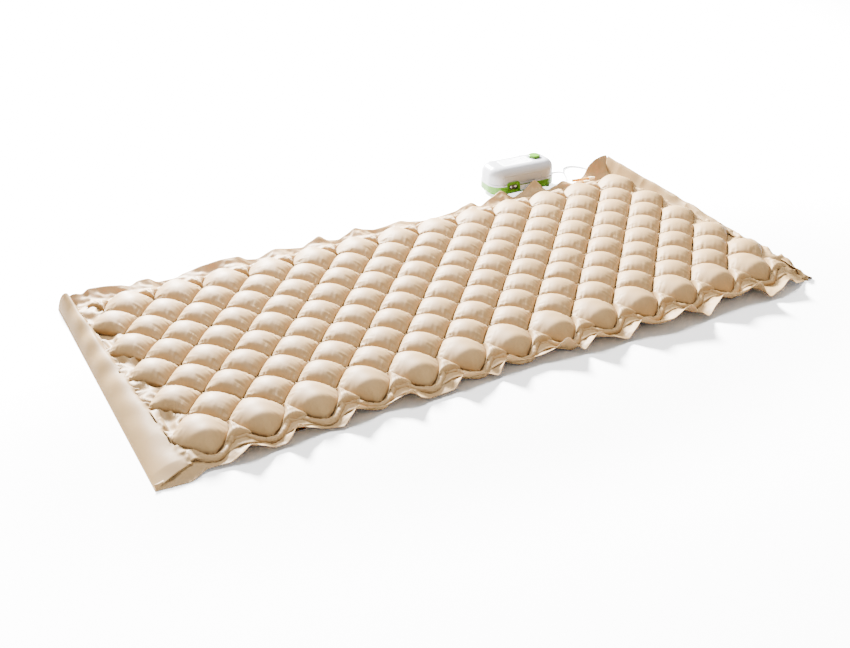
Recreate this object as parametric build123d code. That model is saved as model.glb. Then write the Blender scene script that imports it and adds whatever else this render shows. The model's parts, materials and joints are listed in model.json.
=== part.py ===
from build123d import *
import math
import os

os.makedirs("parts", exist_ok=True)

# Alternating-pressure air pad with its mains pump, in millimetres. +X runs to the head end, +Z up.
# The origin is on the underside of the pad, at the middle of the field of air cells.

# Air pad
PITCH_X = 142.0          # width of one diamond cell, corner to corner, along the pad
PITCH_Y = 150.0          # its other diagonal, across the pad
HALF_COLUMNS = 26        # staggered columns of cells, half a pitch apart
CELLS_PER_COLUMN = 5
SEAM = 6.0               # width of the weld between two cells
WELD_Z = 30.0            # height of the welded seams above the floor
CELL_TOP_Z = 66.0
FILM = 0.4               # thickness of the film
BED_Z = 1.2              # top of the lower film, on which the cells stand
FLAP_LENGTH = 390.0      # tuck-in flap folded under each end
FLAP_HALF_WIDTH = 440.0
FOLD_Z = 0.65            # height of the fold lines on which the flaps turn

FIELD_X = (HALF_COLUMNS + 1) * PITCH_X / 4
FIELD_Y = (CELLS_PER_COLUMN + 0.5) * PITCH_Y / 2

# Fold lines of the two ends: plan points at the near and far side
FOOT_FOLD = ((-1043.0, -470.0), (-978.0, 486.0))
HEAD_FOLD = ((973.0, -462.0), (973.0, 470.0))

# Supply channels welded along the long sides
CHANNEL = 14.0           # section of the serpentine channel
CHANNEL_TOP_Z = 30.0

# Amber inlet tubes: open end and connector end, in plan, at one height
TUBE_Z = 38.0
TUBE_R = 4.5
TUBE_BORE_R = 2.5
INLET_TUBES = (((776.0, 445.0), (836.0, 432.0)), ((764.0, 419.0), (800.0, 413.5)))
CONNECTOR_R = 6.0
CONNECTOR_LENGTH = 13.0

# Pump
PUMP_AT = (633.0, 568.5)
PUMP_YAW = -3.4
PUMP_LENGTH = 252.0
PUMP_WIDTH = 122.0
PUMP_TOP_Z = 99.0
PARTING_Z = 38.0
FOOT_HEIGHT = 8.0
CORNER_R = 46.0          # plan corner of the casing
CROWN_R = 31.0           # rounding from the casing's sides to its top
RIM = 1.5                # how far the rim at the parting line stands out
RIM_HEIGHT = 6.0
WALL = 2.2
CHAMFER = 8.0            # slope at the bottom of the lower casing
KNOB_AT = (69.0, 4.0)
KNOB_R = 20.0
PORTS_AT = (-52.0, 35.0)  # middle of the air outlets on the near side: x, z
PORT_SPACING = 17.0
BOARD_Z = 72.0
FLOOR_Z = FOOT_HEIGHT + WALL

# Mains cord
CORD_D = 5.5
CORD_Z = CORD_D / 2 + 0.15
CORD_EXIT_Z = 27.0
RELIEF_LENGTH = 24.0
COIL_AT = (990.0, 522.0)
COIL_MEAN_R = 29.0
COIL_COLUMNS = 3
COIL_LAYERS = 3

nodes = {}


# ---------------------------------------------------------------- helpers
def polygon(points):
    return Face(Wire.make_polygon([Vector(*p) for p in points]))


def flat(points):
    a, b, c, d = (Vector(*p) for p in points)
    return abs((b - a).cross(c - a).dot(d - a)) < 1e-6


def faceted(rings):
    """Closed solid through matching rings of points, with flat faces and a cap at each end."""
    faces = [polygon(rings[0][::-1]), polygon(rings[-1])]
    for low, high in zip(rings, rings[1:]):
        for k in range(len(low)):
            n = (k + 1) % len(low)
            side = (low[k], low[n], high[n], high[k])
            if flat(side):
                faces.append(polygon(side))
            else:
                faces += [polygon((side[0], side[1], side[2])), polygon((side[0], side[2], side[3]))]
    return Solid(Shell(faces))


def film_strip(edges, shift=(0, 0, FILM)):
    """Thin folded sheet between edges of matching points, as flat panels; shift is its thickness."""
    panels = []
    for first, second in zip(edges, edges[1:]):
        for k in range(len(first) - 1):
            a, b, c, d = first[k], first[k + 1], second[k + 1], second[k]
            for corner in ((a, b, c), (a, c, d)):
                moved = [tuple(p + s for p, s in zip(point, shift)) for point in corner]
                panels.append(faceted([list(corner), moved]))
    return Solid.fuse(panels[0], *panels[1:])


def cylinder(radius, low, high, axis="z", bore=0.0):
    """Round bar between two heights along an axis through the origin, with an optional bore."""
    bar = Solid.make_cylinder(radius, high - low, Plane((0, 0, low)))
    if bore:
        bar = bar - Solid.make_cylinder(bore, high - low + 2, Plane((0, 0, low - 1)))
    turn = {"z": (0, 0, 0), "x": (0, 90, 0), "y": (-90, 0, 0)}[axis]
    return Rot(*turn) * bar


def block(x, y, z):
    """Box between limits, each given as a low and a high value."""
    return Pos(sum(x) / 2, sum(y) / 2, sum(z) / 2) * Box(x[1] - x[0], y[1] - y[0], z[1] - z[0])


def group(parts):
    return Compound(children=list(parts))


# ---------------------------------------------------------------- air pad
def ring(outline, centre, share, z):
    return [(centre[0] + share * (x - centre[0]), centre[1] + share * (y - centre[1]), z)
            for x, y in outline]


def pillow(outline, share, top, inset=0.0):
    """Pillow over and under the weld plane, standing on the lower film, shrunk by inset."""
    rise = top - WELD_Z
    levels = ((0.66, BED_Z + inset), (1.0, WELD_Z), (0.8, WELD_Z + 0.66 * rise), (0.4, top - inset))
    shrink = 1 - inset / HALF_HEIGHT
    return faceted([ring(outline, (0, 0), level * share * shrink, z) for level, z in levels])


def air_cell(outline, share, top=CELL_TOP_Z):
    """Cell of film round its air, about its own middle."""
    return pillow(outline, share, top) - pillow(outline, share, top, FILM)


def cell_centres(circuit):
    """Centres of the cells of one air circuit: 0 is the even columns, 1 the odd ones."""
    for i in range(circuit, HALF_COLUMNS, 2):
        x = (i - (HALF_COLUMNS - 1) / 2) * PITCH_X / 2
        for j in range(CELLS_PER_COLUMN):
            yield x, (j + circuit / 2 - CELLS_PER_COLUMN / 2 + 0.25) * PITCH_Y


def diamond(x, y):
    return [(x - PITCH_X / 2, y), (x, y - PITCH_Y / 2), (x + PITCH_X / 2, y), (x, y + PITCH_Y / 2)]


HALF_HEIGHT = PITCH_X * PITCH_Y / 2 / math.hypot(PITCH_X, PITCH_Y)  # cell centre to its side
SEAM_SHARE = 1 - SEAM / 2 / HALF_HEIGHT
EDGE_SHARE = 0.86        # the same for the half cells along the sides
EDGE_DROP = (PITCH_Y / 2 + 8) / 3  # middle of a half cell inside the field's edge

full_cell = air_cell(diamond(0, 0), SEAM_SHARE)
for circuit, name in enumerate(("air_cells_circuit_a", "air_cells_circuit_b")):
    nodes[name] = group(Pos(x, y, 0) * full_cell for x, y in cell_centres(circuit))


def edge_middles(side):
    """Middles of the half cells along one long side; side is -1 near, 1 far."""
    for i in range(0 if side > 0 else 1, HALF_COLUMNS, 2):
        yield (i - (HALF_COLUMNS - 1) / 2) * PITCH_X / 2, side * (FIELD_Y - EDGE_DROP)


def edge_outline(side):
    """Outline of a half cell about its middle, anticlockwise."""
    outline = [(-PITCH_X / 2, side * (EDGE_DROP - 4)), (PITCH_X / 2, side * (EDGE_DROP - 4)),
               (0, side * (EDGE_DROP - PITCH_Y / 2))]
    return outline if side < 0 else outline[::-1]


for side, name in ((-1, "edge_cells_near"), (1, "edge_cells_far")):
    half_cell = air_cell(edge_outline(side), EDGE_SHARE, top=46.0)
    nodes[name] = group(Pos(x, y, 0) * half_cell for x, y in edge_middles(side))


def channel_block(side, inset=0.0):
    """Serpentine bar that passes round the corner of every cell of the outer row."""
    inner, line = FIELD_Y + 9, []
    for i in range(0 if side < 0 else 1, HALF_COLUMNS, 2):
        x = (i - (HALF_COLUMNS - 1) / 2) * PITCH_X / 2
        line += [(x - 24, inner), (x, inner + 9), (x + 24, inner)]
    line[0] = (line[0][0] + inset, inner)
    line[-1] = (line[-1][0] - inset, inner)
    reach = CHANNEL / 2 - inset
    outline = [(x, side * (y - reach)) for x, y in line]
    outline += [(x, side * (y + reach)) for x, y in reversed(line)]
    outline = outline[::-1] if side < 0 else outline
    return faceted([[(x, y, z) for x, y in outline]
                    for z in (CHANNEL_TOP_Z - CHANNEL + inset, CHANNEL_TOP_Z - inset)])


def supply_channel(side):
    return channel_block(side) - channel_block(side, FILM)


nodes["supply_channel_near"] = supply_channel(-1)
nodes["supply_channel_far"] = supply_channel(1)

# The lower film lies on the floor in the middle and on the folded flaps at the ends
bed_middle = FIELD_X - FLAP_LENGTH - 30
lower_film = block((-FIELD_X, FIELD_X), (-FIELD_Y, FIELD_Y), (BED_Z - FILM, BED_Z))
lower_film += block((-bed_middle, bed_middle), (-FIELD_Y, FIELD_Y), (0, BED_Z - FILM))
nodes["lower_film"] = lower_film


def weld_strips():
    """Welded seams between the cells, as one lattice of film on the weld plane."""
    holes = [(diamond(0, 0), c, SEAM_SHARE) for circuit in (0, 1) for c in cell_centres(circuit)]
    for side in (-1, 1):
        holes += [(edge_outline(side), c, EDGE_SHARE) for c in edge_middles(side)]
    z = WELD_Z - FILM / 2
    edge = Wire.make_polygon([Vector(x, y, z) for x, y in (
        (-FIELD_X, -FIELD_Y), (FIELD_X, -FIELD_Y), (FIELD_X, FIELD_Y), (-FIELD_X, FIELD_Y))])
    wires = [Wire.make_polygon([Vector(c[0] + x, c[1] + y, z)
                                for x, y, _ in ring(outline, (0, 0), share + 0.004, z)])
             for outline, c, share in holes]
    return extrude(Face(edge, wires), FILM, dir=(0, 0, 1))


nodes["weld_lattice"] = weld_strips()

# Free skirts of film outside the channels: the near one droops to the floor, the far one stands up
SKIRT_Y = FIELD_Y + 28
nodes["side_skirt_near"] = film_strip([
    [(-FIELD_X, -SKIRT_Y, WELD_Z), (0, -SKIRT_Y, WELD_Z), (FIELD_X, -SKIRT_Y, WELD_Z)],
    [(-FIELD_X, -476, 0.3), (0, -522, 0.3), (FIELD_X - 10, -534, 0.3)]])
nodes["side_skirt_far"] = film_strip([
    [(FIELD_X, SKIRT_Y + 7, 26), (0, SKIRT_Y + 7, 26), (-FIELD_X + 30, SKIRT_Y + 7, 26)],
    [(FIELD_X, 494, 50), (0, 490, 46), (-FIELD_X + 30, 488, 46)]])

# Film that runs from the last cells over a low ridge down to each fold line
(foot_x0, foot_y0), (foot_x1, foot_y1) = FOOT_FOLD
nodes["foot_end_band"] = film_strip([
    [(foot_x0 + 0.5, foot_y0, 0.9), (foot_x1 + 0.5, foot_y1, 0.9)],
    [(foot_x0 + 32, -464, 34), (-FIELD_X - 10, 470, 44)],
    [(-FIELD_X - 1, -440, 31), (-FIELD_X - 1, 440, 31)]])
(head_x0, head_y0), (head_x1, head_y1) = HEAD_FOLD
nodes["head_end_band"] = film_strip([
    [(FIELD_X + 1, -438, 28), (FIELD_X + 1, 455, 40)],
    [(FIELD_X + 7, -450, 30), (FIELD_X + 7, 470, 80)],
    [(head_x0 - 0.9, head_y0, 0.9), (head_x1 - 0.9, head_y1, 0.9)]], shift=(FILM, 0, 0))


def end_flap(fold, direction):
    """Tuck-in flap lying under the pad, from the fold line towards the middle."""
    (x0, y0), (x1, y1) = fold
    slope = (x1 - x0) / (y1 - y0)
    near, far = -FLAP_HALF_WIDTH, FLAP_HALF_WIDTH
    edge = [(x0 + slope * (y - y0) + direction * 0.5, y) for y in (near, far)]
    end = [(x + direction * FLAP_LENGTH, y) for x, y in edge]
    outline = [edge[0], end[0], end[1], edge[1]]
    outline = outline if direction > 0 else outline[::-1]
    return faceted([[(x, y, 0.1) for x, y in outline], [(x, y, 0.1 + FILM) for x, y in outline]])


nodes["foot_end_flap"] = end_flap(FOOT_FOLD, 1)
nodes["head_end_flap"] = end_flap(HEAD_FOLD, -1)

# Inlet tubes of soft amber rubber, each in a connector welded to the film
connectors, tubes = [], []
for opening, root in INLET_TUBES:
    along = (Vector(*root, 0) - Vector(*opening, 0)).normalized()
    length = math.dist(opening, root)
    plane = Plane(origin=(*opening, TUBE_Z), z_dir=along, x_dir=(0, 0, 1))
    tube = Solid.make_cylinder(TUBE_R, length, plane)
    tubes.append(tube - Solid.make_cylinder(TUBE_BORE_R, length + 2, plane.offset(-1)))
    collar = Solid.make_cylinder(CONNECTOR_R, CONNECTOR_LENGTH, plane.offset(length))
    spigot = Solid.make_cylinder(TUBE_R, 8, plane.offset(length + CONNECTOR_LENGTH))
    hollow = Solid.make_cylinder(TUBE_BORE_R, CONNECTOR_LENGTH + 10, plane.offset(length - 1))
    connectors.append(collar + spigot - hollow)
nodes["inlet_tubes"] = group(tubes)
nodes["inlet_connectors"] = group(connectors)


# ---------------------------------------------------------------- pump casing
def casing_block(inset, low, high, z_offset=0.0):
    """Straight block with the casing's plan shape, shrunk by inset."""
    outline = RectangleRounded(PUMP_LENGTH - 2 * inset, PUMP_WIDTH - 2 * inset, CORNER_R - inset)
    return extrude(Plane.XY.offset(low) * outline, high - low)


def upper_form(inset):
    """Loaf shape above the parting line, shrunk by inset."""
    body = casing_block(RIM + inset, PARTING_Z, PUMP_TOP_Z - inset)
    return fillet(body.faces().sort_by(Axis.Z)[-1].edges(), CROWN_R - inset)


def lower_form(inset):
    """Tray below the parting line, shrunk by inset, with a sloping foot."""
    body = casing_block(inset, FOOT_HEIGHT + inset, PARTING_Z)
    return chamfer(body.faces().sort_by(Axis.Z)[0].edges(), CHAMFER - 0.4 * inset)


SCREWS_AT = [(x, y) for x in (-86, 86) for y in (-38, 38)]
POST_R, BOSS_R = 4.6, 5.2
port_x, port_z = PORTS_AT

upper = upper_form(0) + casing_block(0, PARTING_Z, PARTING_Z + RIM_HEIGHT)
cavity_top = upper_form(WALL)
lower = lower_form(0) - lower_form(WALL)
upper = upper - cavity_top
for x, y in SCREWS_AT:
    post = Pos(x, y, 0) * cylinder(POST_R, PARTING_Z, PUMP_TOP_Z) & upper_form(0)
    upper += post - Pos(x, y, 0) * cylinder(1.6, PARTING_Z - 1, PARTING_Z + 14)
    lower += Pos(x, y, 0) * cylinder(BOSS_R, FLOOR_Z - 0.5, PARTING_Z)
    lower -= Pos(x, y, 0) * cylinder(1.9, FOOT_HEIGHT - 1, PARTING_Z + 1)
    lower -= Pos(x, y, 0) * cylinder(3.6, FOOT_HEIGHT - 1, FOOT_HEIGHT + 6)

for x, y in ((38, -24), (38, 24), (88, -24), (88, 24)):
    upper += Pos(x, y, 0) * cylinder(2.5, BOARD_Z + 1.6, PUMP_TOP_Z - WALL + 0.5)

# Groove that outlines the large panel on the two long sides, and the one round the shoulder
GROOVE = 0.8
with BuildSketch(Plane.XZ) as panel_line:
    with Locations((-16, 59)):
        RectangleRounded(150, 26, 10)
        RectangleRounded(147.6, 23.6, 8.8, mode=Mode.SUBTRACT)
panel = extrude(panel_line.sketch, PUMP_WIDTH, both=True)
upper -= panel - upper_form(GROOVE)

# Dished seat for the knob and a shallow pocket for the label
knob_x, knob_y = KNOB_AT
upper -= Pos(knob_x, knob_y, 0) * cylinder(KNOB_R + 2, PUMP_TOP_Z - 1.0, PUMP_TOP_Z + 1)
upper -= Pos(knob_x, knob_y, 0) * cylinder(4.0, PUMP_TOP_Z - WALL - 1, PUMP_TOP_Z)
with BuildSketch() as label_outline:
    with Locations((-13, -1)):
        RectangleRounded(118, 56, 9)
    with Locations(KNOB_AT):
        Circle(KNOB_R + 7, mode=Mode.SUBTRACT)
label_pocket = extrude(Plane.XY.offset(PUMP_TOP_Z - 0.6) * label_outline.sketch, 2)
upper -= label_pocket
nodes["top_label"] = extrude(
    Plane.XY.offset(PUMP_TOP_Z - 0.6) * offset(label_outline.sketch, -0.4), 0.45)

# Opening for the air outlets, half in each casing
port_opening = block((port_x - 20, port_x + 20), (-PUMP_WIDTH, -50), (port_z - 10, port_z + 10))
upper -= port_opening
lower -= port_opening

# Opening for the switch and for the cord's strain relief in the right-hand end
END_X = PUMP_LENGTH / 2
SWITCH_Z = (48.0, 62.0)
SWITCH_Y = (-10.5, 10.5)
upper -= block((END_X - 12, END_X + 5), SWITCH_Y, SWITCH_Z)
cord_hole = Pos(0, 0, CORD_EXIT_Z) * cylinder(4.0, END_X - 12, END_X + 5, "x")
lower -= cord_hole

# Lugs for the two fold-out hangers on the far side
HOOK_X = (-60.0, 60.0)
HOOK_PIVOT = (64.5, 50.0)
for x in HOOK_X:
    for side in (-1, 1):
        cheek = block((x + side * 8 - 1.5, x + side * 8 + 1.5), (56, HOOK_PIVOT[0] + 3.5),
                      (HOOK_PIVOT[1] - 4, HOOK_PIVOT[1] + 4))
        hole = Pos(x, *HOOK_PIVOT) * cylinder(1.5, -12, 12, "x")
        upper += cheek - cavity_top - hole

nodes["upper_casing"] = upper
nodes["lower_casing"] = lower
nodes["pump_feet"] = group(
    Pos(x, y, 0) * cylinder(8.0, 0, FOOT_HEIGHT) for x in (-102, 102) for y in (-34, 34))
nodes["casing_screws"] = group(
    Pos(x, y, 0) * (cylinder(3.2, FOOT_HEIGHT + 4, FOOT_HEIGHT + 6)
                    + cylinder(1.5, FOOT_HEIGHT + 6, PARTING_Z + 12)) for x, y in SCREWS_AT)

# Knob on its shaft, held by the control on the board
KNOB_LOW = PUMP_TOP_Z - 0.6
knob = cylinder(KNOB_R, KNOB_LOW, KNOB_LOW + 8.5)
knob = fillet(knob.faces().sort_by(Axis.Z)[-1].edges(), 2.8)
knob -= cylinder(3.0, KNOB_LOW - 1, KNOB_LOW + 5)
knob += cylinder(5.5, KNOB_LOW + 8.5 - 2.6, KNOB_LOW + 8.5)
knob = knob & cylinder(KNOB_R + 1, KNOB_LOW, KNOB_LOW + 8.5)
nodes["pressure_knob"] = Pos(knob_x, knob_y, 0) * knob
nodes["knob_shaft"] = Pos(knob_x, knob_y, 0) * cylinder(3.0, BOARD_Z + 4, KNOB_LOW + 5)
control = cylinder(8.5, BOARD_Z + 1.6, BOARD_Z + 9) - cylinder(3.06, BOARD_Z + 3.7, BOARD_Z + 10)
nodes["pressure_control"] = Pos(knob_x, knob_y, 0) * control
board = block((34, 92), (-28, 28), (BOARD_Z, BOARD_Z + 1.6))
nodes["control_board"] = board

# Air outlets: raised surround, dark port plate and two nozzles
surround = block((port_x - 24, port_x + 24), (-PUMP_WIDTH / 2 - 3, -PUMP_WIDTH / 2 + RIM),
                 (port_z - 15, port_z + 17))
surround = fillet(surround.edges().filter_by(Axis.Y), 9)
surround = surround - upper_form(0) - lower_form(0)
surround -= casing_block(0, PARTING_Z, PARTING_Z + RIM_HEIGHT)
mouth = extrude(Plane.XZ * Pos(port_x, port_z) * SlotOverall(36, 17), PUMP_WIDTH, both=True)
nodes["port_surround"] = surround - mouth
plate_y = (-PUMP_WIDTH / 2 + RIM, -PUMP_WIDTH / 2 + RIM + 2.5)
plate = block((port_x - 19.5, port_x + 19.5), plate_y, (port_z - 9.5, port_z + 9.5))
nozzles = []
for x in (port_x - PORT_SPACING / 2, port_x + PORT_SPACING / 2):
    place = Pos(x, 0, port_z)
    plate -= place * cylinder(3.4, -PUMP_WIDTH, 0, "y")
    nozzle = cylinder(3.4, -62.5, -49, "y") - cylinder(1.9, -70, -40, "y")
    nozzles.append(place * nozzle)
nodes["port_plate"] = plate
nodes["outlet_nozzles"] = group(nozzles)
nodes["side_label"] = block((-24, 44), (-PUMP_WIDTH / 2 - 0.4, -PUMP_WIDTH / 2), (18, 35))

# Power switch in the right-hand end
SWITCH_PIVOT = (END_X - RIM - 2.0, (SWITCH_Z[0] + SWITCH_Z[1]) / 2)
bezel = block((END_X - 12, END_X - RIM + 1), SWITCH_Y, SWITCH_Z)
bezel -= block((END_X - 9.6, END_X + 5), (SWITCH_Y[0] + 1.6, SWITCH_Y[1] - 1.6),
               (SWITCH_Z[0] + 1.4, SWITCH_Z[1] - 1.4))
nodes["switch_frame"] = bezel
with BuildSketch(Plane.XY) as rocker_side:
    with BuildLine():
        Polyline((-3.2, -7.8), (1.2, -7.8), (2.8, 0), (4.4, 7.8), (-0.4, 7.8), (-3.2, 0),
                 close=True)
    make_face()
rocker = extrude(rocker_side.sketch, 5.0, both=True)
nodes["power_rocker"] = Pos(SWITCH_PIVOT[0], 0, SWITCH_PIVOT[1]) * rocker

# Fold-out hangers with their pins
hooks = []
for x in HOOK_X:
    y, z = HOOK_PIVOT
    strip = block((x - 6.2, x + 6.2), (y - 1.5, y + 1.5), (z, z + 34))
    lip = block((x - 6.2, x + 6.2), (y - 1.5, y + 14), (z + 31, z + 34))
    tip = block((x - 6.2, x + 6.2), (y + 11, y + 14), (z + 22, z + 34))
    barrel = Pos(x, y, z) * cylinder(3.2, -6.2, 6.2, "x")
    hooks.append(strip + lip + tip + barrel - Pos(x, y, z) * cylinder(1.55, -12, 12, "x"))
nodes["hanger_hook_left"], nodes["hanger_hook_right"] = hooks
nodes["hook_pins"] = group(Pos(x, *HOOK_PIVOT) * cylinder(1.5, -9.5, 9.5, "x") for x in HOOK_X)

# ---------------------------------------------------------------- pump works
MAGNET_X, CHAMBER_X, MOTOR_X = 30.0, -38.0, -88.0
DECK_Z = 15.0
WORKS_Z = 33.0           # height of the magnet's and the chambers' middle
deck = block((-109, 66), (-38, 38), (DECK_Z - 2, DECK_Z))
nodes["works_deck"] = deck - group(
    Pos(x, y, 0) * cylinder(BOSS_R + 1, 0, 50) for x, y in SCREWS_AT)
nodes["deck_mounts"] = group(
    Pos(x, y, 0) * cylinder(4.5, FLOOR_Z, DECK_Z - 2) for x in (-68, 58) for y in (-30, 30))

core = block((MAGNET_X - 7, MAGNET_X + 7), (-15, 15), (WORKS_Z - 7, WORKS_Z + 7))
for side in (-1, 1):
    core += block((MAGNET_X - 15, MAGNET_X + 15), sorted((side * 15, side * 20)),
                  (DECK_Z, WORKS_Z + 12))
nodes["magnet_core"] = core
hollow = block((MAGNET_X - 7.2, MAGNET_X + 7.2), (-20, 20), (WORKS_Z - 7.2, WORKS_Z + 7.2))
spool = block((MAGNET_X - 9, MAGNET_X + 9), (-14.5, 14.5), (WORKS_Z - 9, WORKS_Z + 9))
for side in (-1, 1):
    spool += block((MAGNET_X - 16, MAGNET_X + 16), sorted((side * 13, side * 14.5)),
                   (WORKS_Z - 16, WORKS_Z + 16))
nodes["coil_bobbin"] = spool - hollow
winding = block((MAGNET_X - 15, MAGNET_X + 15), (-12.8, 12.8), (WORKS_Z - 15, WORKS_Z + 15))
nodes["coil_winding"] = winding - block(
    (MAGNET_X - 9.1, MAGNET_X + 9.1), (-20, 20), (WORKS_Z - 9.1, WORKS_Z + 9.1))

ARM_Y, ARM_PIVOT_X = 28.5, 60.0
chambers, valves = [], []
for side, name in ((-1, "near"), (1, "far")):
    y = side * ARM_Y
    arm = block((CHAMBER_X - 8, ARM_PIVOT_X), (y - 1.5, y + 1.5), (WORKS_Z - 6, WORKS_Z + 6))
    arm += Pos(ARM_PIVOT_X, y, 0) * cylinder(3.4, WORKS_Z - 6, WORKS_Z + 6)
    arm -= Pos(ARM_PIVOT_X, y, 0) * cylinder(1.55, WORKS_Z - 10, WORKS_Z + 10)
    nodes[f"swing_arm_{name}"] = arm
    magnet = sorted((side * 22.6, side * (ARM_Y - 1.5)))
    nodes[f"arm_magnet_{name}"] = block((MAGNET_X - 9, MAGNET_X + 9), magnet,
                                        (WORKS_Z - 7, WORKS_Z + 7))
    cup = Pos(CHAMBER_X, 0, WORKS_Z) * cylinder(15.5, *sorted((side * 4.2, side * 17)), "y")
    cup -= Pos(CHAMBER_X, 0, WORKS_Z) * cylinder(13.0, *sorted((side * 6.2, side * 18)), "y")
    chambers.append(cup + block((CHAMBER_X - 12, CHAMBER_X + 12), sorted((side * 4.2, side * 16)),
                                (DECK_Z, WORKS_Z - 12))
                    - Pos(CHAMBER_X, 0, WORKS_Z) * cylinder(13.0, *sorted((side * 6.2, side * 18)), "y"))
    disc = cylinder(15.0, *sorted((side * 17, side * 18.5)), "y")
    disc += cylinder(3.0, *sorted((side * 18.5, side * (ARM_Y - 1.8))), "y")
    nodes[f"diaphragm_{name}"] = Pos(CHAMBER_X, 0, WORKS_Z) * disc
    for dx in (-6, 6):
        flap = Pos(CHAMBER_X + dx, 0, WORKS_Z) * cylinder(4.5, *sorted((side * 6.2, side * 7.2)), "y")
        valves.append(flap)
nodes["pump_chambers"] = group(chambers)
nodes["check_valves"] = group(valves)
nodes["arm_pivot_pins"] = group(
    Pos(ARM_PIVOT_X, side * ARM_Y, 0) * cylinder(1.5, DECK_Z, WORKS_Z + 9) for side in (-1, 1))
nodes["air_manifold"] = (block((CHAMBER_X - 14, CHAMBER_X + 14), (-4.2, 4.2), (DECK_Z, WORKS_Z + 12))
                         + Pos(CHAMBER_X, 0, 0) * cylinder(1.9, WORKS_Z + 12, WORKS_Z + 18))

# Slow motor that turns the disc which feeds the two circuits in turn
nodes["timing_motor"] = (Pos(MOTOR_X, 0, 0) * cylinder(20, DECK_Z, DECK_Z + 12)
                         + Pos(MOTOR_X, 0, 0) * cylinder(6, DECK_Z + 12, DECK_Z + 14))
disc = cylinder(13, DECK_Z + 17, DECK_Z + 20) + cylinder(2.5, DECK_Z + 14.3, DECK_Z + 17)
disc -= Pos(7, 0, 0) * cylinder(2, DECK_Z, DECK_Z + 30)
nodes["valve_disc"] = Pos(MOTOR_X, 0, 0) * disc
seat = cylinder(15, DECK_Z + 20.3, DECK_Z + 27)
seat += cylinder(17, DECK_Z + 12.0, DECK_Z + 27) - cylinder(14, DECK_Z + 11, DECK_Z + 28)
SEAT_TOP = DECK_Z + 27
OUTLETS = ((7.0, 9.0), (-6.0, -10.0), (6.0, -10.0))  # stubs on the seat, from its centre
for dx, dy in OUTLETS:
    seat += Pos(dx, dy, 0) * cylinder(1.9, SEAT_TOP, SEAT_TOP + 6)
nodes["valve_seat"] = Pos(MOTOR_X, 0, 0) * seat


def hose(points, radii):
    """Soft tube of 6 mm along straight runs joined by arcs."""
    path = FilletPolyline(*points, radius=radii)
    start = Plane(origin=path @ 0, z_dir=path % 0)
    wall = sweep(start * Circle(3.0), path=path)
    return wall - sweep(start * Circle(1.95), path=path)


pipe_top = WORKS_Z + 12.1
seat_top = SEAT_TOP + 0.1
port_left, port_right = port_x - PORT_SPACING / 2, port_x + PORT_SPACING / 2
nodes["internal_hoses"] = group([
    hose([(CHAMBER_X, 0, pipe_top), (CHAMBER_X, 0, 62), (MOTOR_X + 7, 9, 62),
          (MOTOR_X + 7, 9, seat_top)], [9, 9]),
    hose([(MOTOR_X - 6, -10, seat_top), (MOTOR_X - 6, -10, 56), (port_left, -36, 56),
          (port_left, -36, port_z), (port_left, -48.8, port_z)], [7, 8, 8]),
    hose([(MOTOR_X + 6, -10, seat_top), (MOTOR_X + 6, -10, 70), (port_right, -38, 70),
          (port_right, -38, port_z), (port_right, -48.8, port_z)], [8, 8, 8])])

# ---------------------------------------------------------------- mains cord
PUMP_PLACE = Pos(*PUMP_AT, 0) * Rot(0, 0, PUMP_YAW)
relief = Solid.make_cone(4.6, 3.2, RELIEF_LENGTH, Plane(origin=(END_X, 0, CORD_EXIT_Z), z_dir=(1, 0, 0)))
relief += Pos(0, 0, CORD_EXIT_Z) * cylinder(3.8, END_X - 6, END_X, "x")
nodes["strain_relief"] = relief

PUMP_NODES = [n for n in nodes if n not in (
    "air_cells_circuit_a", "air_cells_circuit_b", "edge_cells_near", "edge_cells_far",
    "supply_channel_near", "supply_channel_far", "lower_film", "weld_lattice", "side_skirt_near",
    "side_skirt_far", "foot_end_band", "head_end_band", "foot_end_flap", "head_end_flap",
    "inlet_tubes", "inlet_connectors")]
for name in PUMP_NODES:
    nodes[name] = PUMP_PLACE * nodes[name]

exit_point = PUMP_PLACE * Pos(END_X + RELIEF_LENGTH, 0, CORD_EXIT_Z)
EXIT = tuple(exit_point.position)
COIL_X, COIL_Y = COIL_AT
COIL_OUTER = COIL_MEAN_R + COIL_COLUMNS * CORD_D / 2
COIL_INNER = COIL_MEAN_R - COIL_COLUMNS * CORD_D / 2
route = [
    EXIT,
    (EXIT[0] + 22, EXIT[1] + 22 * math.tan(math.radians(PUMP_YAW)), CORD_EXIT_Z),
    (EXIT[0] + 48, EXIT[1] + 9, 12.5),
    (851.0, 596.0, CORD_Z),
    (876.0, 629.0, CORD_Z),
    (911.0, 632.0, CORD_Z),
    (935.0, 604.0, CORD_Z),
    (945.0, 575.0, CORD_Z),
    (COIL_X - COIL_OUTER + CORD_D / 2, COIL_Y + 26, CORD_Z),
    (COIL_X - COIL_OUTER + CORD_D / 2 + 0.6, COIL_Y + 4, CORD_Z),
]


def bend_radii(points):
    """Largest arc that the two runs at each point allow."""
    radii = []
    for a, b, c in zip(points, points[1:], points[2:]):
        before, after = Vector(*b) - Vector(*a), Vector(*c) - Vector(*b)
        half_turn = math.radians(before.get_angle(after)) / 2
        radii.append(0.45 * min(before.length, after.length) / math.tan(half_turn))
    return radii


radii = bend_radii(route)
cord_path = FilletPolyline(*route, radius=radii)
cord = sweep(Plane(origin=cord_path @ 0, z_dir=cord_path % 0) * Circle(CORD_D / 2), path=cord_path)
print("cord runs", [round(math.dist(a, b), 1) for a, b in zip(route, route[1:])])
print("cord radii", [round(r, 1) for r in radii], "route", [tuple(round(v, 1) for v in p) for p in route])
print("cord length", round(cord_path.length, 1), "volume over section times length",
      round(cord.volume / (math.pi * CORD_D ** 2 / 4 * cord_path.length), 4))

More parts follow.
